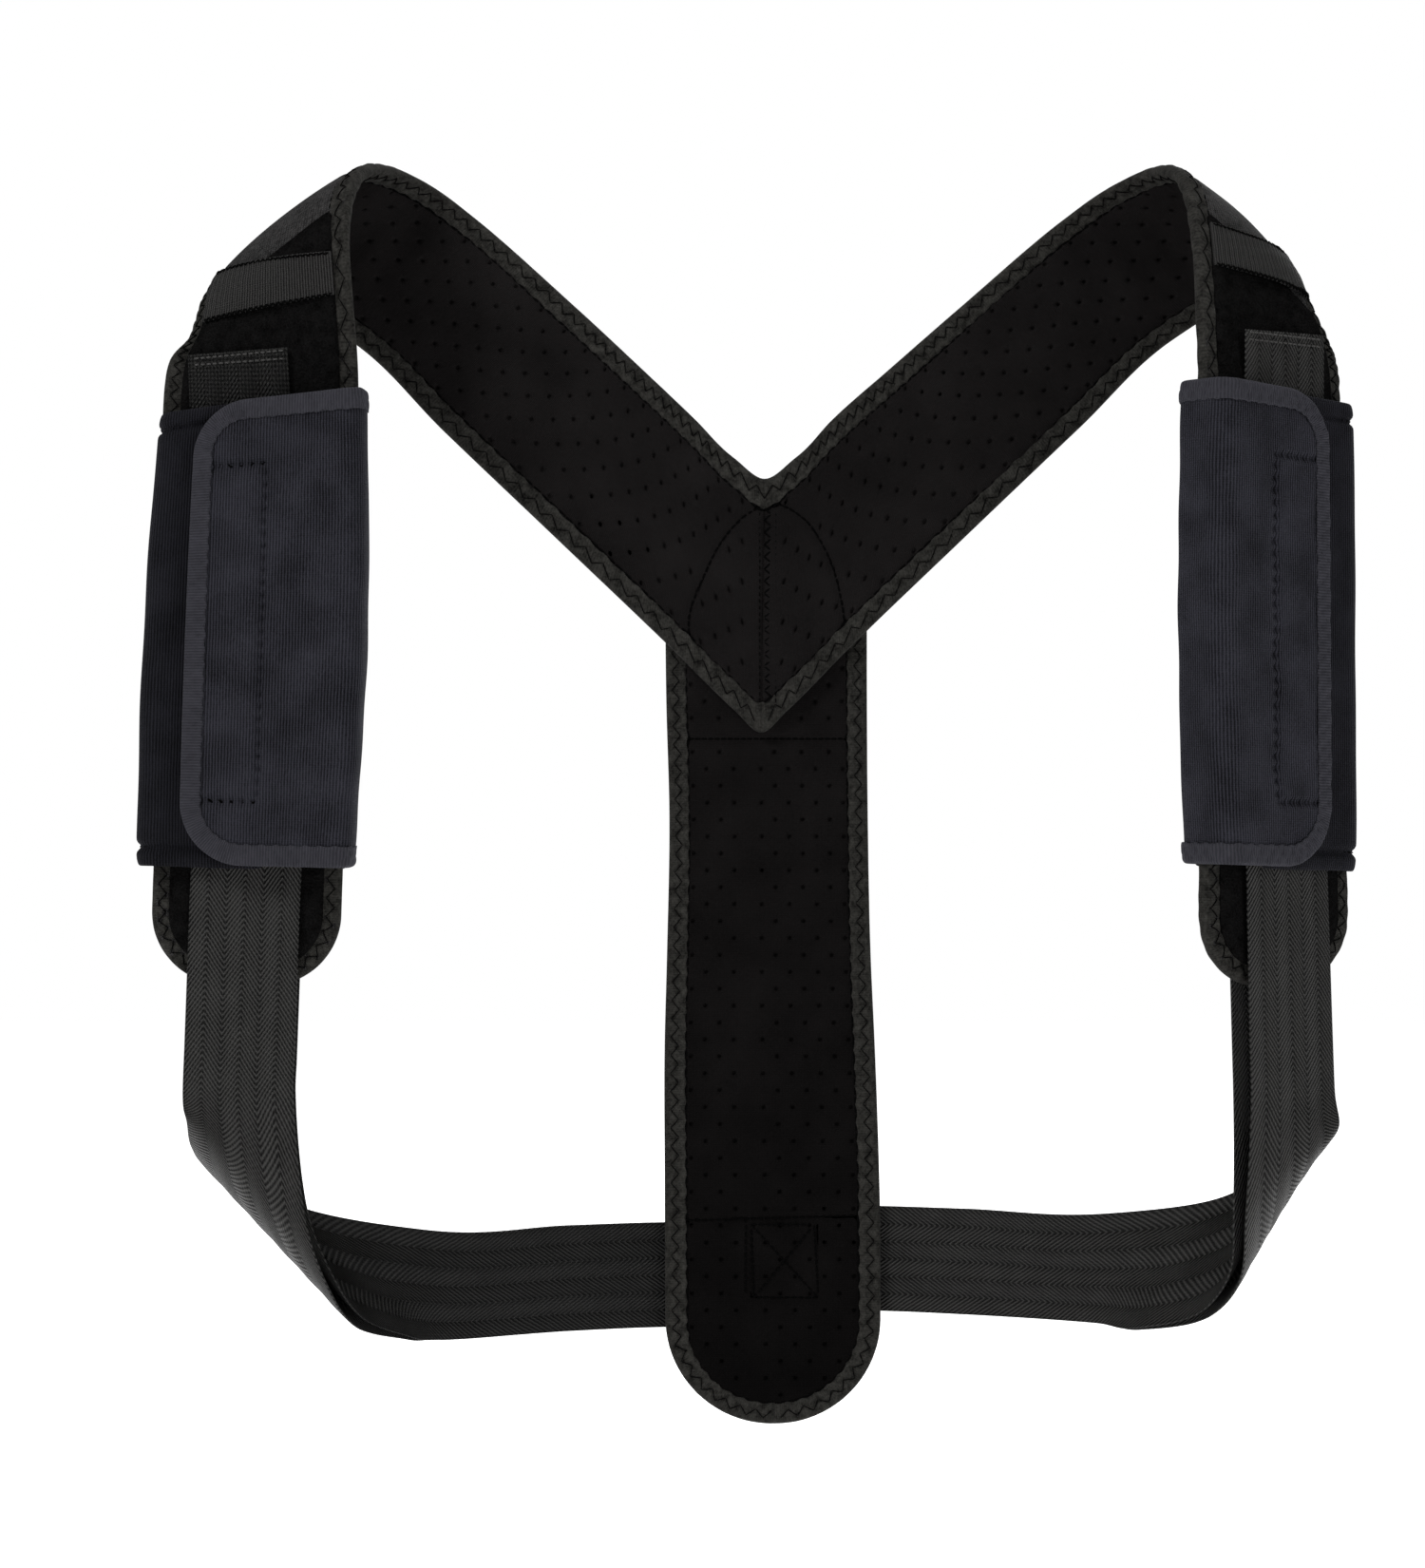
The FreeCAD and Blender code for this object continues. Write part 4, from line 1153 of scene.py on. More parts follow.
def make_sleeve():
    """Bridge of webbing over the strap ends, sewn down along its top and bottom."""
    low, high = (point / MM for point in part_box("strap_sleeve"))
    sheet = Plane((0, SPINE_MIDDLE, 0), (0, 0, 1), (1, 0, 0), (0, 1, 0))
    bar = 5.0
    thick = 1.2
    rest = 2.9
    top = high.y - SPINE_MIDDLE - thick

    def under(s, _):
        foot, head = low.z + bar, high.z - bar
        return rest + (top - rest) * ease(s, foot - 0.8, foot + 1.0) * (1 - ease(s, head - 1.0, head + 0.8))

    def over(s, a):
        edge = np.minimum(a - low.x, high.x - a)
        return under(s, a) + thick * (0.6 + 0.4 * ease(edge, 0, 1.2)) + 0.12 * np.cos(a * 2 * math.pi / 6.33)

    sleeve = cut_sheet("strap_sleeve_cloth", "webbing", "harness", sheet, (low.z, low.x),
                       (high.z, high.x), (1.5, 1.5, 1.5, 1.5), (0.8, 0.9), over, under)
    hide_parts("strap_sleeve")
    sewing = Piece()
    thread = mm(settings("tape").thread) / 2
    for height in (low.z + 1.2, low.z + bar - 1.4, high.z - 1.2, high.z - bar + 1.4):
        run, _, distance = polyline([(height, low.x + 1.5), (height, high.x - 1.5)])
        stitches(sewing, sheet, *running(run, distance, 2.4), rest + thick + 0.15, thread)
    threads = sewing.build("sleeve_stitching", "thread", "harness")


# ---- shoulder arms -----------------------------------------------------------------------------

def make_arm(name, side):
    values, tape = settings("sheet"), settings("tape")
    strip = arm_strip(name, side)
    core, skin = mm(values.core) / 2, mm(values.skin)
    width, edge = strip.width, mm(tape.width)
    low, high = (0.0, 0.0), (strip.length, width)
    radii = (0, mm(values.leg_round), mm(values.leg_round), 0)
    seed = 20 if side < 0 else 30
    egg, egg_travel = egg_line()

    def side_distance(s, a):
        """Distance in from the bound edges; the centre seam is open."""
        return edge_distance(s, a, (-1000.0, 0.0), high, radii)

    def hem(s, a):
        return ease(side_distance(s, a), edge - 0.6, edge + 1.6)

    def egg_dip(s, a):
        spots = strip.at(s, a, 0)
        close = s < 60
        dip = np.zeros(len(np.atleast_1d(s)))
        if close.any():
            dip[close] = bell(near_line(spots[close][:, 0], spots[close][:, 2], egg), 1.25)
        return dip

    def creases(s, a):
        """Soft folds pressed into the lining on the inside of the shoulder's bend."""
        bend = bell(s - strip.knots[ARM_CREST] + 8, 26)
        folds = np.sin((s + 0.22 * a) * 2 * math.pi / 15.5)
        return bend * 0.7 * folds * np.sin(np.pi * np.clip(a / width, 0, 1))

    def front(s, a):
        rest = -(core + skin) - ripple(s, a, seed, 55, 0.45) + creases(s, a)
        return rest + (1 - hem(s, a)) * 1.15 + 1.3 * egg_dip(s, a) + 0.6 * bell(s, 1.2)

    def back(s, a):
        return core + skin + ripple(s, a, seed + 1, 48, 0.45) - (1 - hem(s, a)) * 0.8

    margin = 1.6
    box_low, box_high = (0.0, margin), (strip.length - margin, width - margin)
    box_radii = (0, radii[1] - margin, radii[2] - margin, 0)

    def holed(s, a):
        clear = side_distance(np.array(s), np.array(a)) > edge + 1.3
        spot = strip.at(np.array([s]), np.array([a]), 0)[0]
        on_egg = s < 60 and near_line(spot[0:1], spot[2:3], egg)[0] < 1.6
        return bool(clear and s > 3.2 and not on_egg and s < strip.length - 6)

    holes = {"where": holed, "size": mm(values.hole_size), "depth": 1.0}
    cells = (mm(values.hole_along), mm(values.hole_across) / 2)
    lining = cut_sheet(name + "_arm_lining_cloth", "lining", "harness", strip, box_low, box_high,
                       box_radii, cells, front, lambda s, a: -core + 0 * s, holes)
    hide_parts(name + "_arm_lining")

    shell = cut_sheet(name + "_arm_shell_cloth", "shell", "harness", strip, box_low, box_high, box_radii,
                      (2.6, 2.6), back, lambda s, a: core + 0 * s)
    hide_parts(name + "_arm_shell")

    core_radii = (0, radii[1] - 1.2, radii[2] - 1.2, 0)
    foam = cut_sheet(name + "_arm_core", "fleece", "harness", strip, (0.0, 1.2),
                     (strip.length - 1.2, width - 1.2), core_radii, (5, 5), lambda s, a: core + 0 * s,
                     lambda s, a: -core + 0 * s)
    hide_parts(name + "_arm_foam")

    layer = Piece()
    path, inward, travel = box_outline(low, high, radii, 1.0, False)
    pitch = travel[-1] / round(travel[-1] / mm(tape.pitch))
    fold_tape(layer, strip, path, inward, travel, edge, core, mm(tape.rise), pitch, False)
    binding = layer.build(name + "_arm_tape", "tape", "harness")
    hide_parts(name + "_arm_binding")

    sewing = Piece()
    thread = mm(tape.thread) / 2
    starts, ends = zigzag(path, inward, travel, pitch, edge * 0.30, edge * 0.68)
    for level in (-(core + mm(tape.rise)), core + mm(tape.rise)):
        stitches(sewing, strip, starts, ends, level, thread * ZIGZAG_THREAD)
    plane = Plane((0, ARM_MIDDLE, 0), (1, 0, 0), (0, 0, 1), (0, 1, 0))
    own = egg[:, 0] * side > 0
    own_path, own_travel = egg[own], egg_travel[own]
    face = -(core + skin) + 1.05
    # The egg seam is drawn as nearly unbroken dark thread: partly the real stitching, partly painted shade for the
    # dark line in its crease.
    sewn_on(sewing, lining, plane, *running(own_path, own_travel, 2.6, 0.92), thread, 0.12, -9.0)
    seam_and_crease_shade(sewing, strip, path, inward, travel, edge, core + skin, thread)
    if side > 0:
        seam = np.arange(95, 166, 2.2)
        left = np.column_stack([np.where(np.arange(len(seam)) % 2, 1.3, -1.3), seam])
        stitches(sewing, plane, left[:-1], left[1:], face - 0.85, thread)
        for beside in (-2.9, 2.9):
            row, _, distance = polyline([(beside, 95), (beside, 166)])
            stitches(sewing, plane, *running(row, distance, 2.4), face - 0.9, thread * 0.6)
    threads = sewing.build(name + "_arm_stitching", "thread", "harness")
    return strip


# Height of the keeper's upper and lower edge, each at its inner and outer end, and how far it bulges.
KEEPER_SHAPE = {"right": ((249.5, 245.0), (234.6, 225.0), 1.4), "left": ((260.0, 251.0), (244.5, 235.0), 2.2)}


class Band:
    """Sheet on a strip between two edges of given height; s runs from 0 at the upper edge to its length."""

    def __init__(self, strip, margin, heights):
        places = np.linspace(strip.knots[ARM_CREST - 1], strip.leg_top + 20, 240)
        self.strip = strip
        self.shares = np.linspace(0, 1, 24)
        width = strip.width - 2 * margin
        self.edges = []
        for inner, outer in heights:
            found = []
            for share in self.shares:
                z = strip.at(places, margin + width * share, SHELL_LEVEL)[:, 2]
                found.append(np.interp(-(inner + (outer - inner) * share), -z, places))
            self.edges.append(np.array(found))
        self.margin, self.width = margin, width
        self.length = float(np.mean(self.edges[1] - self.edges[0]))

    def spot(self, s, a):
        upper, lower = (np.interp(a / self.width, self.shares, edge) for edge in self.edges)
        return upper + (lower - upper) * s / self.length, a + self.margin

    def at(self, s, a, out):
        s, a, out = np.broadcast_arrays(np.asarray(s, float), np.asarray(a, float), np.asarray(out, float))
        along, across = self.spot(s, a)
        return self.strip.at(along, across, out)


def make_keeper(name, strip):
    """Elastic band over the front of the shoulder, sewn at its ends and standing loose between them."""
    upper, lower, lift = KEEPER_SHAPE[name]
    band_sheet = Band(strip, 6.4, (upper, lower))
    long, wide = band_sheet.length, band_sheet.width

    def over(s, a):
        share, along = np.clip(a / wide, 0, 1), np.clip(s / long, 0, 1)
        puff = lift * np.sin(np.pi * share) ** 0.7 * (0.3 + 0.7 * along)
        rib = 0.11 * np.cos(a * 2 * math.pi / 1.9) + 0.08 * np.sin(s * 2 * math.pi / 7 + a / 5)
        return SHELL_LEVEL + 1.1 + puff + rib

    keeper = cut_sheet(name + "_keeper_band", "elastic", "harness", band_sheet, (0.0, 0.0), (long, wide),
                       (0, 0, 0, 0), (0.9, 0.475), over, lambda s, a: over(s, a) - 1.0)
    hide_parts(name + "_keeper")

    sewing = Piece()
    thread = mm(settings("tape").thread) / 2
    for height, reach in ((long - 0.2, 0.75), (1.0, 0.6)):
        path, inward, travel = polyline([(height, 1.0), (height, wide - 1.0)])
        starts, ends = zigzag(path, inward, travel, 2.2, -reach, reach)
        stitches(sewing, band_sheet, starts, ends, over(starts[:, 0], starts[:, 1]) + 0.1, thread)
    threads = sewing.build(name + "_keeper_stitching", "thread", "harness")


# ---- straps ------------------------------------------------------------------------------------

def strap_lines(name, side, leg):
    """Cross lines of the front strap and of the rear strap nested inside it."""
    half = mm(settings("webbing").width) / 2

    def flat(level, down, cut=0.0):
        top, foot = max(0.0, 1 - down / 120), (down / LEG_END) ** 2
        return [leg.place(np.array(x + first * top + last * foot), np.array(-level),
                          np.array(-float(down) - lower))
                for x, first, last, lower in zip((-half, half), TAB_SWAY[name], STRAP_SWAY[name], (0.0, cut))]

    drop = RUN_DROP[name]
    level = RUN_LEVEL - drop
    turn = [on_side(line, side) for line in STRAP_TURNS[name]]
    start = [(x, y, z - drop) for x, y, z in on_side(RUN_START, side)]
    run = [start]
    for reach, depth in (RUN_BEND, (SPINE_REACH, STRAP_DEPTH), (STRAP_END, STRAP_DEPTH)):
        run.append([(side * reach, depth, level - half), (side * reach, depth, level + half)])
    body = turn + run
    front = [flat(STRAP_LEVEL, TAB_TOP[name], TAB_CUT[name])]
    front += [flat(STRAP_LEVEL, down) for down in (8.6, 60, 120, 190, 235, LEG_END)] + body
    strip = Strip(front, 2 * half, -leg.into)
    places = strip.knots[-len(body):]
    normals = strip.normal(places)
    nested = [[np.array(point) - normal * gap + leg.outward * shift for point in line]
              for line, normal, gap, shift in zip(body, normals, NEST_GAPS, NEST_SHIFT)]
    rear = [flat(REAR_LEVEL, down) for down in (REAR_START, 215, 240, LEG_END)] + nested
    return strip, Strip(rear, 2 * half, -leg.into)


def web_piece(name, strip, body=None, finish="webbing"):
    """Webbing with rolled edges and shallow grooves between its columns."""
    values = settings("webbing")
    width, depth = mm(values.width), mm(values.depth)
    column = width / values.columns
    along = np.linspace(0, strip.length, int(strip.length / 1.2))
    inner = np.linspace(0.6, width - 0.6, 49)
    relief = 0.10 * np.cos(inner * 2 * math.pi / column) + 0.06
    top = depth / 2 - relief
    profile = [(x, h) for x, h in zip(inner, top)] + [(width - 0.1, depth * 0.3), (width + 0.1, 0.0),
                                                      (width - 0.1, -depth * 0.3)]
    profile += [(x, -h) for x, h in zip(inner[::-1], top[::-1])]
    profile += [(0.1, -depth * 0.3), (-0.1, 0.0), (0.1, depth * 0.3)]
    across = np.array([x for x, _ in profile])
    level = np.array([h for _, h in profile])
    s = along[:, None] + 0 * across[None, :]
    a = across[None, :] + 0 * along[:, None]
    wave = ripple(s, a, 7, 70, 0.18)
    grid = strip.at(s, a, level[None, :] + wave)
    item = Piece()
    item.tube(grid, np.stack([s, a], axis=-1))
    return item.build(name, finish, body)


def make_straps(name, side):
    leg = Leg(name, side)
    front, rear = strap_lines(name, side, leg)
    strap = web_piece(name + "_front_webbing", front, None, "webbing_tab" if side < 0 else "webbing")
    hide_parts(name + "_strap_front", name + "_strap_tab")
    leg.point(0, -STRAP_LEVEL, TAB_TURN[0])
    leg.point(0, -STRAP_LEVEL, TAB_TURN[1])
    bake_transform(strap)
    nested = web_piece(name + "_rear_webbing", rear, "harness")
    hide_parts(name + "_strap_rear")

    sewing = Piece()
    wide = front.width - 1.6
    thread = mm(settings("tape").thread) / 2
    for height, slope in ((0.9, 0.8), (3.4, 0.8)):
        path, _, travel = polyline([(height, 1.6), (height + slope, wide)])
        stitches(sewing, front, *running(path, travel, 2.3, 0.8), 0.66, thread)
    hem = sewing.build(name + "_tab_stitching", "hem_thread", name + "_tab")


# ---- hook and loop ---------------------------------------------------------------------------------

def make_grips(name, side):
    """Loop fleece on the leg, and the hook tapes under the strap and the tab."""
    leg = Leg(name, side)
    arm = arm_strip(name, side)
    above, beside = 38.0, 6.2
    low, high = (arm.leg_top - above, beside), (arm.length - 6.4, arm.width - beside)
    radii = (3, 18, 18, 3)

    def nap(s, a):
        rim = edge_distance(s, a, low, high, radii)
        return SHELL_LEVEL + 0.25 + 0.6 * ease(rim, 0, 1.5) + ripple(s, a, 5, 9, 0.10)

    fleece = cut_sheet(name + "_fleece", "fleece", "harness", arm, low, high, radii, (2, 2), nap,
                       lambda s, a: SHELL_LEVEL - 0.4 + 0 * s)
    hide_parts(name + "_loop_patch")

    def teeth(s, a):
        return -1.15 + 0.16 * np.sin(s * 2 * math.pi / 1.6) * np.sin(a * 2 * math.pi / 1.2)

    strap, _ = strap_lines(name, side, leg)
    split = 8.0 - TAB_TOP[name]
    for label, node, body, low_s, high_s in (
            ("strap_hooks", "strap_hook", "harness", split + 1.0, split + 111.0),
            ("tab_hooks", "tab_hook", name + "_tab", 6.8, split - 1.2)):
        hooks = cut_sheet("%s_%s" % (name, label), "hook", body, strap, (low_s, 2.2),
                          (high_s, strap.width - 2.2), (1, 1, 1, 1), (0.8, 0.6), lambda s, a: -0.62 + 0 * s, teeth)
        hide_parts("%s_%s" % (name, node))


# ---- armpit pads -------------------------------------------------------------------------------------

PAD_HALF = {"right": 39.8, "left": 36.5}
PAD_TOP, PAD_FOOT = 9.0, 173.0
FLAP_REACH = {"right": 63.4, "left": 51.6}
# Height of the pad's corners over a plain box: top inner, top outer, bottom inner, bottom outer.
PAD_CORNERS = {"right": (1.9, -8.9, -0.4, -0.8), "left": (2.6, -3.2, 0.6, -2.6)}
# How far the pad's outer side draws in at its top, and its inner side at both ends.
PAD_DRAW = {"right": (4.6, 2.2), "left": (0.6, 2.0)}

# How far the flap's fold lies outward of the pad's inner side.
PAD_FOLD = {"right": 3.4, "left": 0.6}


def pad_warp(name):
    """The pull that the wearer's arm and the sewing give a pad, as a change of leg coordinates."""
    half = PAD_HALF[name]
    top_in, top_out, foot_in, foot_out = PAD_CORNERS[name]
    draw_top, draw_ends = PAD_DRAW[name]

    def warp(x, y, z):
        across = np.clip(x / half, -1, 1)
        down = np.clip((-z - PAD_TOP) / (PAD_FOOT - PAD_TOP), 0, 1)
        outer = np.clip(across, 0, 1) ** 1.5
        inner = np.clip(-across, 0, 1) ** 1.5
        share = (across + 1) / 2
        top = top_in * (1 - share) + top_out * share
        foot = foot_in * (1 - share) + foot_out * share
        shift = top * (1 - down) ** 2 + foot * down ** 2
        x = x - outer * draw_top * (1 - down) ** 2.2 - outer * 0.8 * down ** 4
        x = x + inner * draw_ends * (2 * down - 1) ** 2 - inner * 0.6 * np.sin(np.pi * down)
        return x, y, z + shift
    return warp


def swell(item, pinned, pressure, limit):
    """Blow the loose faces of a closed padded piece up as cloth, and keep what moved within a limit."""
    count = len(item.data.vertices)
    rest = np.zeros(count * 3)
    item.data.vertices.foreach_get("co", rest)
    rest = rest.reshape(-1, 3)
    group = item.vertex_groups.new(name="sewn")
    group.add([int(i) for i in np.nonzero(pinned)[0]], 1.0, "REPLACE")
    modifier = item.modifiers.new("Padding", "CLOTH")
    modifier.settings.vertex_group_mass = "sewn"
    modifier.settings.use_pressure = True
    modifier.settings.uniform_pressure_force = pressure
    modifier.settings.effector_weights.gravity = 0
    modifier.settings.quality = 5
    modifier.settings.tension_stiffness = 12
    modifier.settings.compression_stiffness = 12
    modifier.settings.bending_stiffness = 1.5
    modifier.collision_settings.use_collision = False
    modifier.point_cache.frame_start = 1
    modifier.point_cache.frame_end = 20
    scene = bpy.context.scene
    for step in range(1, 21):
        scene.frame_set(step)
    shown = item.evaluated_get(bpy.context.evaluated_depsgraph_get())
    blown = np.zeros(count * 3)
    shown.data.vertices.foreach_get("co", blown)
    item.modifiers.remove(modifier)
    scene.frame_set(1)
    move = blown.reshape(-1, 3) - rest
    size = np.linalg.norm(move, axis=1, keepdims=True)
    move *= np.minimum(1.0, limit * MM / np.maximum(size, 1e-9))
    item.data.vertices.foreach_set("co", (rest + move).ravel())
    item.data.update()
    item.vertex_groups.clear()


def refine(item, levels):
    """Apply subdivision, keeping the cloth coordinates."""
    modifier = item.modifiers.new("Finer", "SUBSURF")
    modifier.levels = modifier.render_levels = levels
    modifier.uv_smooth = "NONE"
    mesh = bpy.data.meshes.new_from_object(item.evaluated_get(bpy.context.evaluated_depsgraph_get()))
    item.modifiers.clear()
    item.data = mesh


def cloth_places(item):
    """Each vertex's cloth coordinates in millimetres."""
    mesh = item.data
    corner = np.zeros(len(mesh.loops), np.int32)
    mesh.loops.foreach_get("vertex_index", corner)
    uv = np.zeros(len(mesh.loops) * 2, np.float32)
    mesh.uv_layers["cloth"].data.foreach_get("uv", uv)
    places = np.zeros((len(mesh.vertices), 2))
    places[corner] = uv.reshape(-1, 2) / MM
    return places


def press(item, depth):
    """Move each outer point in along its normal by depth(s, a) millimetres."""
    mesh = item.data
    places = cloth_places(item)
    amount = depth(places[:, 0], places[:, 1])
    normals = np.zeros(len(mesh.vertices) * 3)
    mesh.vertex_normals.foreach_get("vector", normals)
    points = np.zeros(len(mesh.vertices) * 3)
    mesh.vertices.foreach_get("co", points)
    moved = points.reshape(-1, 3) - normals.reshape(-1, 3) * amount[:, None] * MM
    mesh.vertices.foreach_set("co", moved.ravel())
    mesh.update()


def padded_sheet(label, sheet, low, high, radii, wall, cell, finish, crown, creases):
    """A foam-filled sheet: blown up, made finer, and pressed in along its seams."""
    def rim(s, a):
        return edge_distance(s, a, low, high, radii)

    def over(s, a):
        return wall / 2 * (0.45 + 0.55 * np.sqrt(ease(rim(s, a), -0.5, 4.0)))

    item = cut_sheet(label, finish, None, sheet, low, high, radii, (cell, cell), over, lambda s, a: -over(s, a))
    places = cloth_places(item)
    half_count = len(item.data.vertices) // 2
    pinned = rim(places[:, 0], places[:, 1]) < 6.5
    pinned[half_count:] = True
    swell(item, pinned, 4.0, crown)
    refine(item, 2)
    press(item, creases)
    return item


def make_pad(name, side):
    values = settings("pad")
    leg = Leg(name, side)
    half = PAD_HALF[name]
    wall = mm(values.wall)
    warp = pad_warp(name)
    free = -half + FLAP_REACH[name]
    lap = free - 7.6 - 0.2 - 20.0 - 1.8

    corners = [(-half + 4.5, 6.6), (half - 1.6, 6.6), (half - 1.6, -8.9), (lap, -8.9)]
    sheet = Wrapped(leg, corners, [0, 6.0, 6.0, 0], warp)
    low, high = (PAD_TOP, 0.0), (PAD_FOOT, sheet.length)
    hem = 6.6

    def creases(s, a):
        top, foot = s - PAD_TOP - hem, PAD_FOOT - hem - s
        return 1.7 * (bell(top, 1.3) + bell(foot, 1.3)) + ripple(s, a, 41 if side < 0 else 42, 38, 0.4)

    wrap = padded_sheet(name + "_pad_sleeve", sheet, low, high, (1, 1, 1, 1), wall, 3.2, "pad_sleeve",
                        mm(values.crown), creases)
    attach(wrap, name + "_pad")
    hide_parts(name + "_pad_wrap")
    thread = mm(settings("tape").thread) / 2
    sewing = Piece()
    # The hem stitching runs nearly unbroken: partly the real stitching, partly painted shade for the dark line in
    # the hem's crease.
    for height in (PAD_TOP + hem, PAD_FOOT - hem):
        path, _, travel = polyline([(height, 3.0), (height, sheet.length - 3)])
        sewn_on(sewing, wrap, sheet, *running(path, travel, 3.6, 0.85), thread)
    threads = sewing.build(name + "_sleeve_hem_stitching", "thread", name + "_pad")
    make_flap(name, side, leg, half, free, warp)


def make_flap(name, side, leg, half, free, warp):
    values = settings("pad")
    wall = mm(values.wall)
    tape = mm(values.tape)
    fold = -half + PAD_FOLD[name]
    corners = [(fold + 11.5, 9.0), (fold, 9.0), (fold, -13.9), (free - 0.4, -13.9)]
    sheet = Wrapped(leg, [(x, y) for x, y in corners], [0, 5.0, 6.0, 0], warp)
    sheet.facing = -sheet.facing
    low, high = (PAD_TOP - 0.5, 0.0), (PAD_FOOT - 1.0, sheet.length)
    foot_round, top_round = 22.0, 19.0
    grip_far = sheet.length - 7.6 - 0.2
    grip_near = grip_far - 19.0
    grip_top, grip_foot = PAD_TOP + 23.0, PAD_TOP + 141.0

    def rim(s, a):
        return edge_distance(s, a, low, high, (0.5, 0.5, foot_round, top_round))

    def creases(s, a):
        down = ease(s, grip_top - 1, grip_top + 1) * (1 - ease(s, grip_foot - 1, grip_foot + 1))
        across = ease(a, grip_near - 1, grip_near + 1)
        pucker = 0.75 + 0.45 * np.sin(s * 2 * math.pi / 4.3)
        long_line = down * bell(a - grip_near, 1.3) * pucker
        ends = across * (bell(s - grip_top, 1.3) + bell(s - grip_foot, 1.3))
        ends = ends * (0.8 + 0.4 * np.sin(a * 2 * math.pi / 3.7))
        pull = down * bell(a - grip_near, 6) * 0.35 * np.sin(s * 2 * math.pi / 19)
        under_tape = (1 - ease(rim(s, a), tape - 1.0, tape + 1.2)) * (a > 30) * 0.5
        return 1.7 * (long_line + ends) + pull + under_tape + ripple(s, a, 51 if side < 0 else 52, 34, 0.5)

    flap = padded_sheet(name + "_flap_cloth", sheet, low, high, (0.5, 0.5, foot_round, top_round), wall,
                        3.2, "pad", mm(values.crown), creases)
    # The flap turns across the fold's corner, the side wall staying with the pad and the front going with the
    # flap;
    # these are two points on that turn.
    hinge = (leg.point(fold, -9.3, -91.0), leg.point(fold + 4.5, -13.8, -91.0))
    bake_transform(flap)
    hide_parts(name + "_pad_flap")

    binding = Piece()
    path, inward, travel = outline_through(
        [(low[0], 3.0), (low[0], high[1]), (high[0], high[1]), (high[0], 3.0)],
        (0, top_round, foot_round, 0), 1.0, False)
    inward = -inward
    pitch = travel[-1] / round(travel[-1] / 5.2)
    fold_tape(binding, sheet, path, inward, travel, tape, wall / 2, 0.7, pitch, False)
    edge = binding.build(name + "_flap_tape", "pad_edge")
    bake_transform(edge)
    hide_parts(name + "_pad_binding")

    sewing = Piece()
    thread = mm(settings("tape").thread) / 2
    for depth, slant in ((tape - 2.3, 1.3), (tape - 2.3, -1.3)):
        begins = np.arange(2.0, travel[-1] - 3, 5.6)
        spot = np.stack([np.interp(begins, travel, (path + inward * depth)[:, i]) for i in (0, 1)], axis=1)
        toward = np.stack([np.interp(begins + slant, travel, (path + inward * (tape - 0.4))[:, i])
                           for i in (0, 1)], axis=1)
        sewn_on(sewing, edge, sheet, spot, toward, thread, 0.1)
    box = [(grip_top, grip_far), (grip_top, grip_near), (grip_foot, grip_near), (grip_foot, grip_far)]
    for first, second in zip(box[:-1], box[1:]):
        run, way, distance = polyline([first, second])
        weight = 0.6 if first[1] == second[1] else 1.3
        sewn_on(sewing, flap, sheet, *zigzag(run, way, distance, 3.4, -0.5, 0.5), thread * weight)
    threads = sewing.build(name + "_flap_stitching", "thread")
    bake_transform(threads)

    face = leg.sheet()
    grip_low, grip_high = free - 27.6, free - 7.8
    for label, node, body, over, under, finish in (
            ("sleeve_fleece", "pad_loop", name + "_pad", 11.1, 10.2, "fleece"),
            ("flap_hooks", "pad_hook", name + "_flap", 12.5, 11.6, "hook")):
        grip = cut_sheet("%s_%s" % (name, label), finish, body, face, (grip_top, grip_low),
                         (grip_foot, grip_high), (1, 1, 1, 1), (1.6, 1.2), lambda s, a: over + 0 * s,
                         lambda s, a: under + 0 * s)
        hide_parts("%s_%s" % (name, node))


# ---- stage -------------------------------------------------------------------------------------------

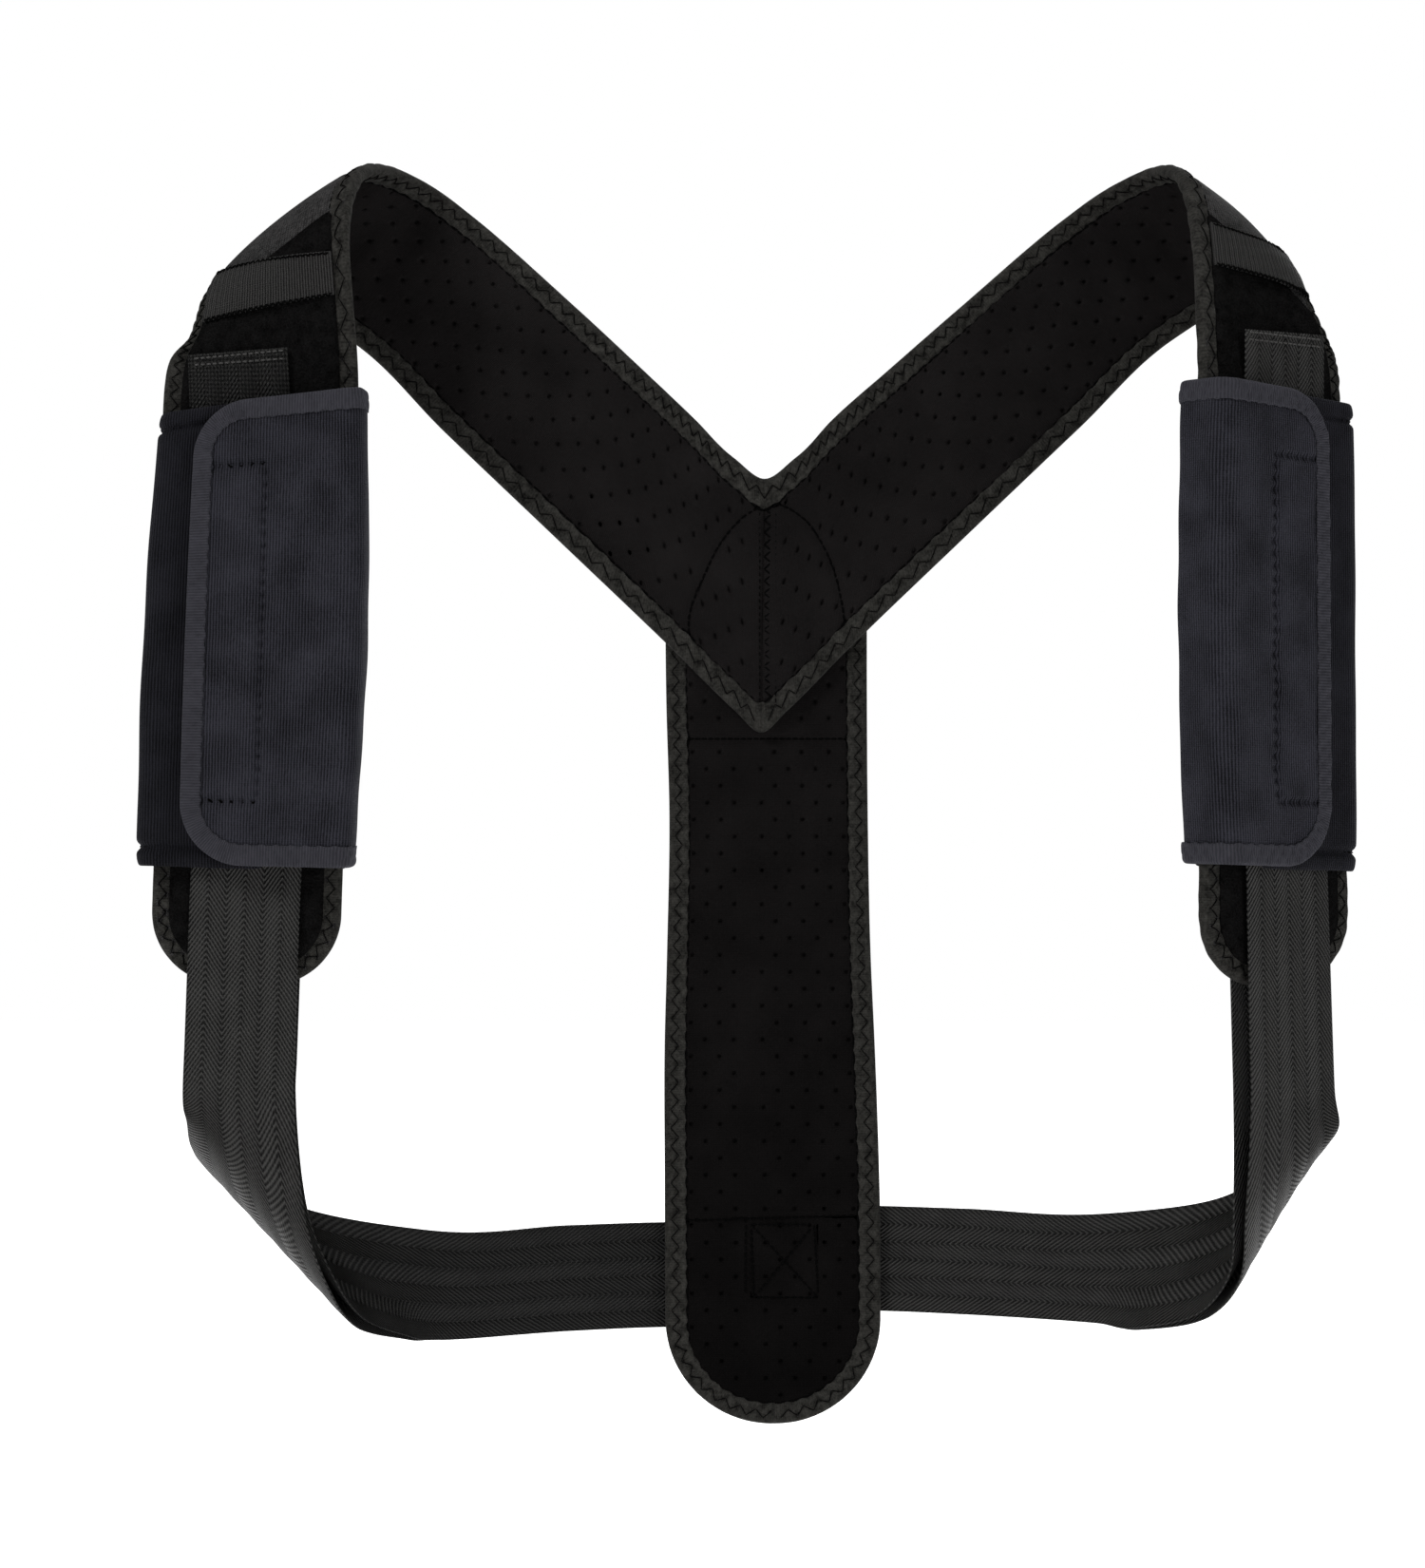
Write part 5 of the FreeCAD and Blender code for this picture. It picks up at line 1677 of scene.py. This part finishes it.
def make_stage():
    values = settings("stage")
    scene = bpy.context.scene
    low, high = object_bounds()
    middle = (Vector(low) + Vector(high)) / 2

    floor_piece = Piece()
    reach, step = 3000.0, 40
    line = np.linspace(-reach, reach, step)
    s, a = np.meshgrid(line, line, indexing="ij")
    level = low[2] / MM - mm(values.drop)
    points = np.stack([s, a, np.full_like(s, level)], axis=-1).reshape(-1, 3)
    i, j = np.meshgrid(np.arange(step - 1), np.arange(step - 1), indexing="ij")
    quads = np.stack([i * step + j, (i + 1) * step + j, (i + 1) * step + j + 1, i * step + j + 1], axis=-1)
    floor_piece.add(points, quads.reshape(-1, 4), np.stack([s, a], axis=-1).reshape(-1, 2))
    floor = floor_piece.build("floor", "floor")
    floor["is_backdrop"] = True

    world = bpy.data.worlds.new("studio")
    scene.world = world
    world.use_nodes = True
    nodes, links = world.node_tree.nodes, world.node_tree.links
    soft = nodes["Background"]
    soft.inputs["Color"].default_value = (1, 1, 1, 1)
    soft.inputs["Strength"].default_value = values.sky
    seen = nodes.new("ShaderNodeBackground")
    seen.inputs["Strength"].default_value = 1.0
    seen.inputs["Color"].default_value = (1, 1, 1, 1)
    path = nodes.new("ShaderNodeLightPath")
    mix = nodes.new("ShaderNodeMixShader")
    links.new(path.outputs["Is Camera Ray"], mix.inputs[0])
    links.new(soft.outputs[0], mix.inputs[1])
    links.new(seen.outputs[0], mix.inputs[2])
    links.new(mix.outputs[0], nodes["World Output"].inputs["Surface"])

    for label, place, size, share in (("key", (-1.0, -1.0, 1.2), 0.55, 1.0),
                                      ("fill", (1.2, -1.1, 0.5), 0.9, 0.42),
                                      ("top", (0.2, -0.1, 1.5), 0.9, 0.5),
                                      ("back", (0.6, 1.4, 0.8), 1.1, 0.6)):
        light = bpy.data.lights.new(label, "AREA")
        light.energy = values.key * share
        light.size = size
        lamp = bpy.data.objects.new(label, light)
        scene.collection.objects.link(lamp)
        lamp.location = place
        lamp.rotation_euler = (middle - lamp.location).to_track_quat("-Z", "Y").to_euler()

    view = bpy.data.cameras.new("camera")
    view.lens = values.lens
    view.sensor_width = 36.0
    camera = bpy.data.objects.new("camera", view)
    scene.collection.objects.link(camera)
    camera.location = values.eye
    camera.rotation_euler = (math.pi / 2, 0, 0)
    scene.camera = camera
    scene.view_settings.view_transform = "Standard"


# ---- operators and panel -----------------------------------------------------------------------------

class BraceOperator:
    bl_options = {"REGISTER", "UNDO"}


class BRACE_OT_spine(BraceOperator, bpy.types.Operator):
    """Make the spine panel: perforated lining, core, shell, tape and seams"""
    bl_idname = "brace.spine"
    bl_label = "Spine Panel"

    def execute(self, context):
        make_spine()
        return {"FINISHED"}


class BRACE_OT_sleeve(BraceOperator, bpy.types.Operator):
    """Make the webbing sleeve that holds the strap ends on the spine panel"""
    bl_idname = "brace.sleeve"
    bl_label = "Strap Sleeve"

    def execute(self, context):
        make_sleeve()
        return {"FINISHED"}


class BRACE_OT_arms(BraceOperator, bpy.types.Operator):
    """Make both shoulder arms with their lining, core, shell, tape and keeper bands"""
    bl_idname = "brace.arms"
    bl_label = "Shoulder Arms"

    def execute(self, context):
        for name, side in SIDES:
            make_keeper(name, make_arm(name, side))
        return {"FINISHED"}


class BRACE_OT_straps(BraceOperator, bpy.types.Operator):
    """Make the front and rear webbing straps of both sides"""
    bl_idname = "brace.straps"
    bl_label = "Straps"

    def execute(self, context):
        for name, side in SIDES:
            make_straps(name, side)
        return {"FINISHED"}


class BRACE_OT_grips(BraceOperator, bpy.types.Operator):
    """Make the loop fleece and hook tapes of both sides"""
    bl_idname = "brace.grips"
    bl_label = "Hook and Loop"

    def execute(self, context):
        for name, side in SIDES:
            make_grips(name, side)
        return {"FINISHED"}


class BRACE_OT_pads(BraceOperator, bpy.types.Operator):
    """Make both armpit pads with their flaps, binding and stitching"""
    bl_idname = "brace.pads"
    bl_label = "Armpit Pads"

    def execute(self, context):
        for name, side in SIDES:
            make_pad(name, side)
        return {"FINISHED"}


class BRACE_OT_stage(BraceOperator, bpy.types.Operator):
    """Make the floor, the lights and the camera"""
    bl_idname = "brace.stage"
    bl_label = "Stage"

    def execute(self, context):
        make_stage()
        return {"FINISHED"}


OPERATORS = (BRACE_OT_spine, BRACE_OT_sleeve, BRACE_OT_arms, BRACE_OT_straps, BRACE_OT_grips, BRACE_OT_pads,
             BRACE_OT_stage)
GROUPS = {"sheet": BRACE_PG_sheet, "tape": BRACE_PG_tape, "webbing": BRACE_PG_webbing, "pad": BRACE_PG_pad,
          "stage": BRACE_PG_stage}


class BRACE_PT_sidebar(bpy.types.Panel):
    """Lists the pieces of the brace in the order they are made"""
    bl_label = "Brace"
    bl_idname = "BRACE_PT_sidebar"
    bl_space_type = "VIEW_3D"
    bl_region_type = "UI"
    bl_category = "Brace"

    def draw(self, context):
        for operator in OPERATORS:
            self.layout.operator(operator.bl_idname)


def register():
    for group in GROUPS.values():
        bpy.utils.register_class(group)
    for name, group in GROUPS.items():
        setattr(bpy.types.Scene, "brace_" + name, PointerProperty(type=group))
    for operator in OPERATORS:
        bpy.utils.register_class(operator)
    bpy.utils.register_class(BRACE_PT_sidebar)


def unregister():
    bpy.utils.unregister_class(BRACE_PT_sidebar)
    for operator in reversed(OPERATORS):
        bpy.utils.unregister_class(operator)
    for name in GROUPS:
        delattr(bpy.types.Scene, "brace_" + name)
    for group in reversed(list(GROUPS.values())):
        bpy.utils.unregister_class(group)


def main():
    register()
    bpy.ops.brace.spine()
    bpy.ops.brace.sleeve()
    bpy.ops.brace.arms()
    bpy.ops.brace.straps()
    bpy.ops.brace.grips()
    bpy.ops.brace.pads()
    bpy.ops.brace.stage()


if __name__ == "__main__":
    main()
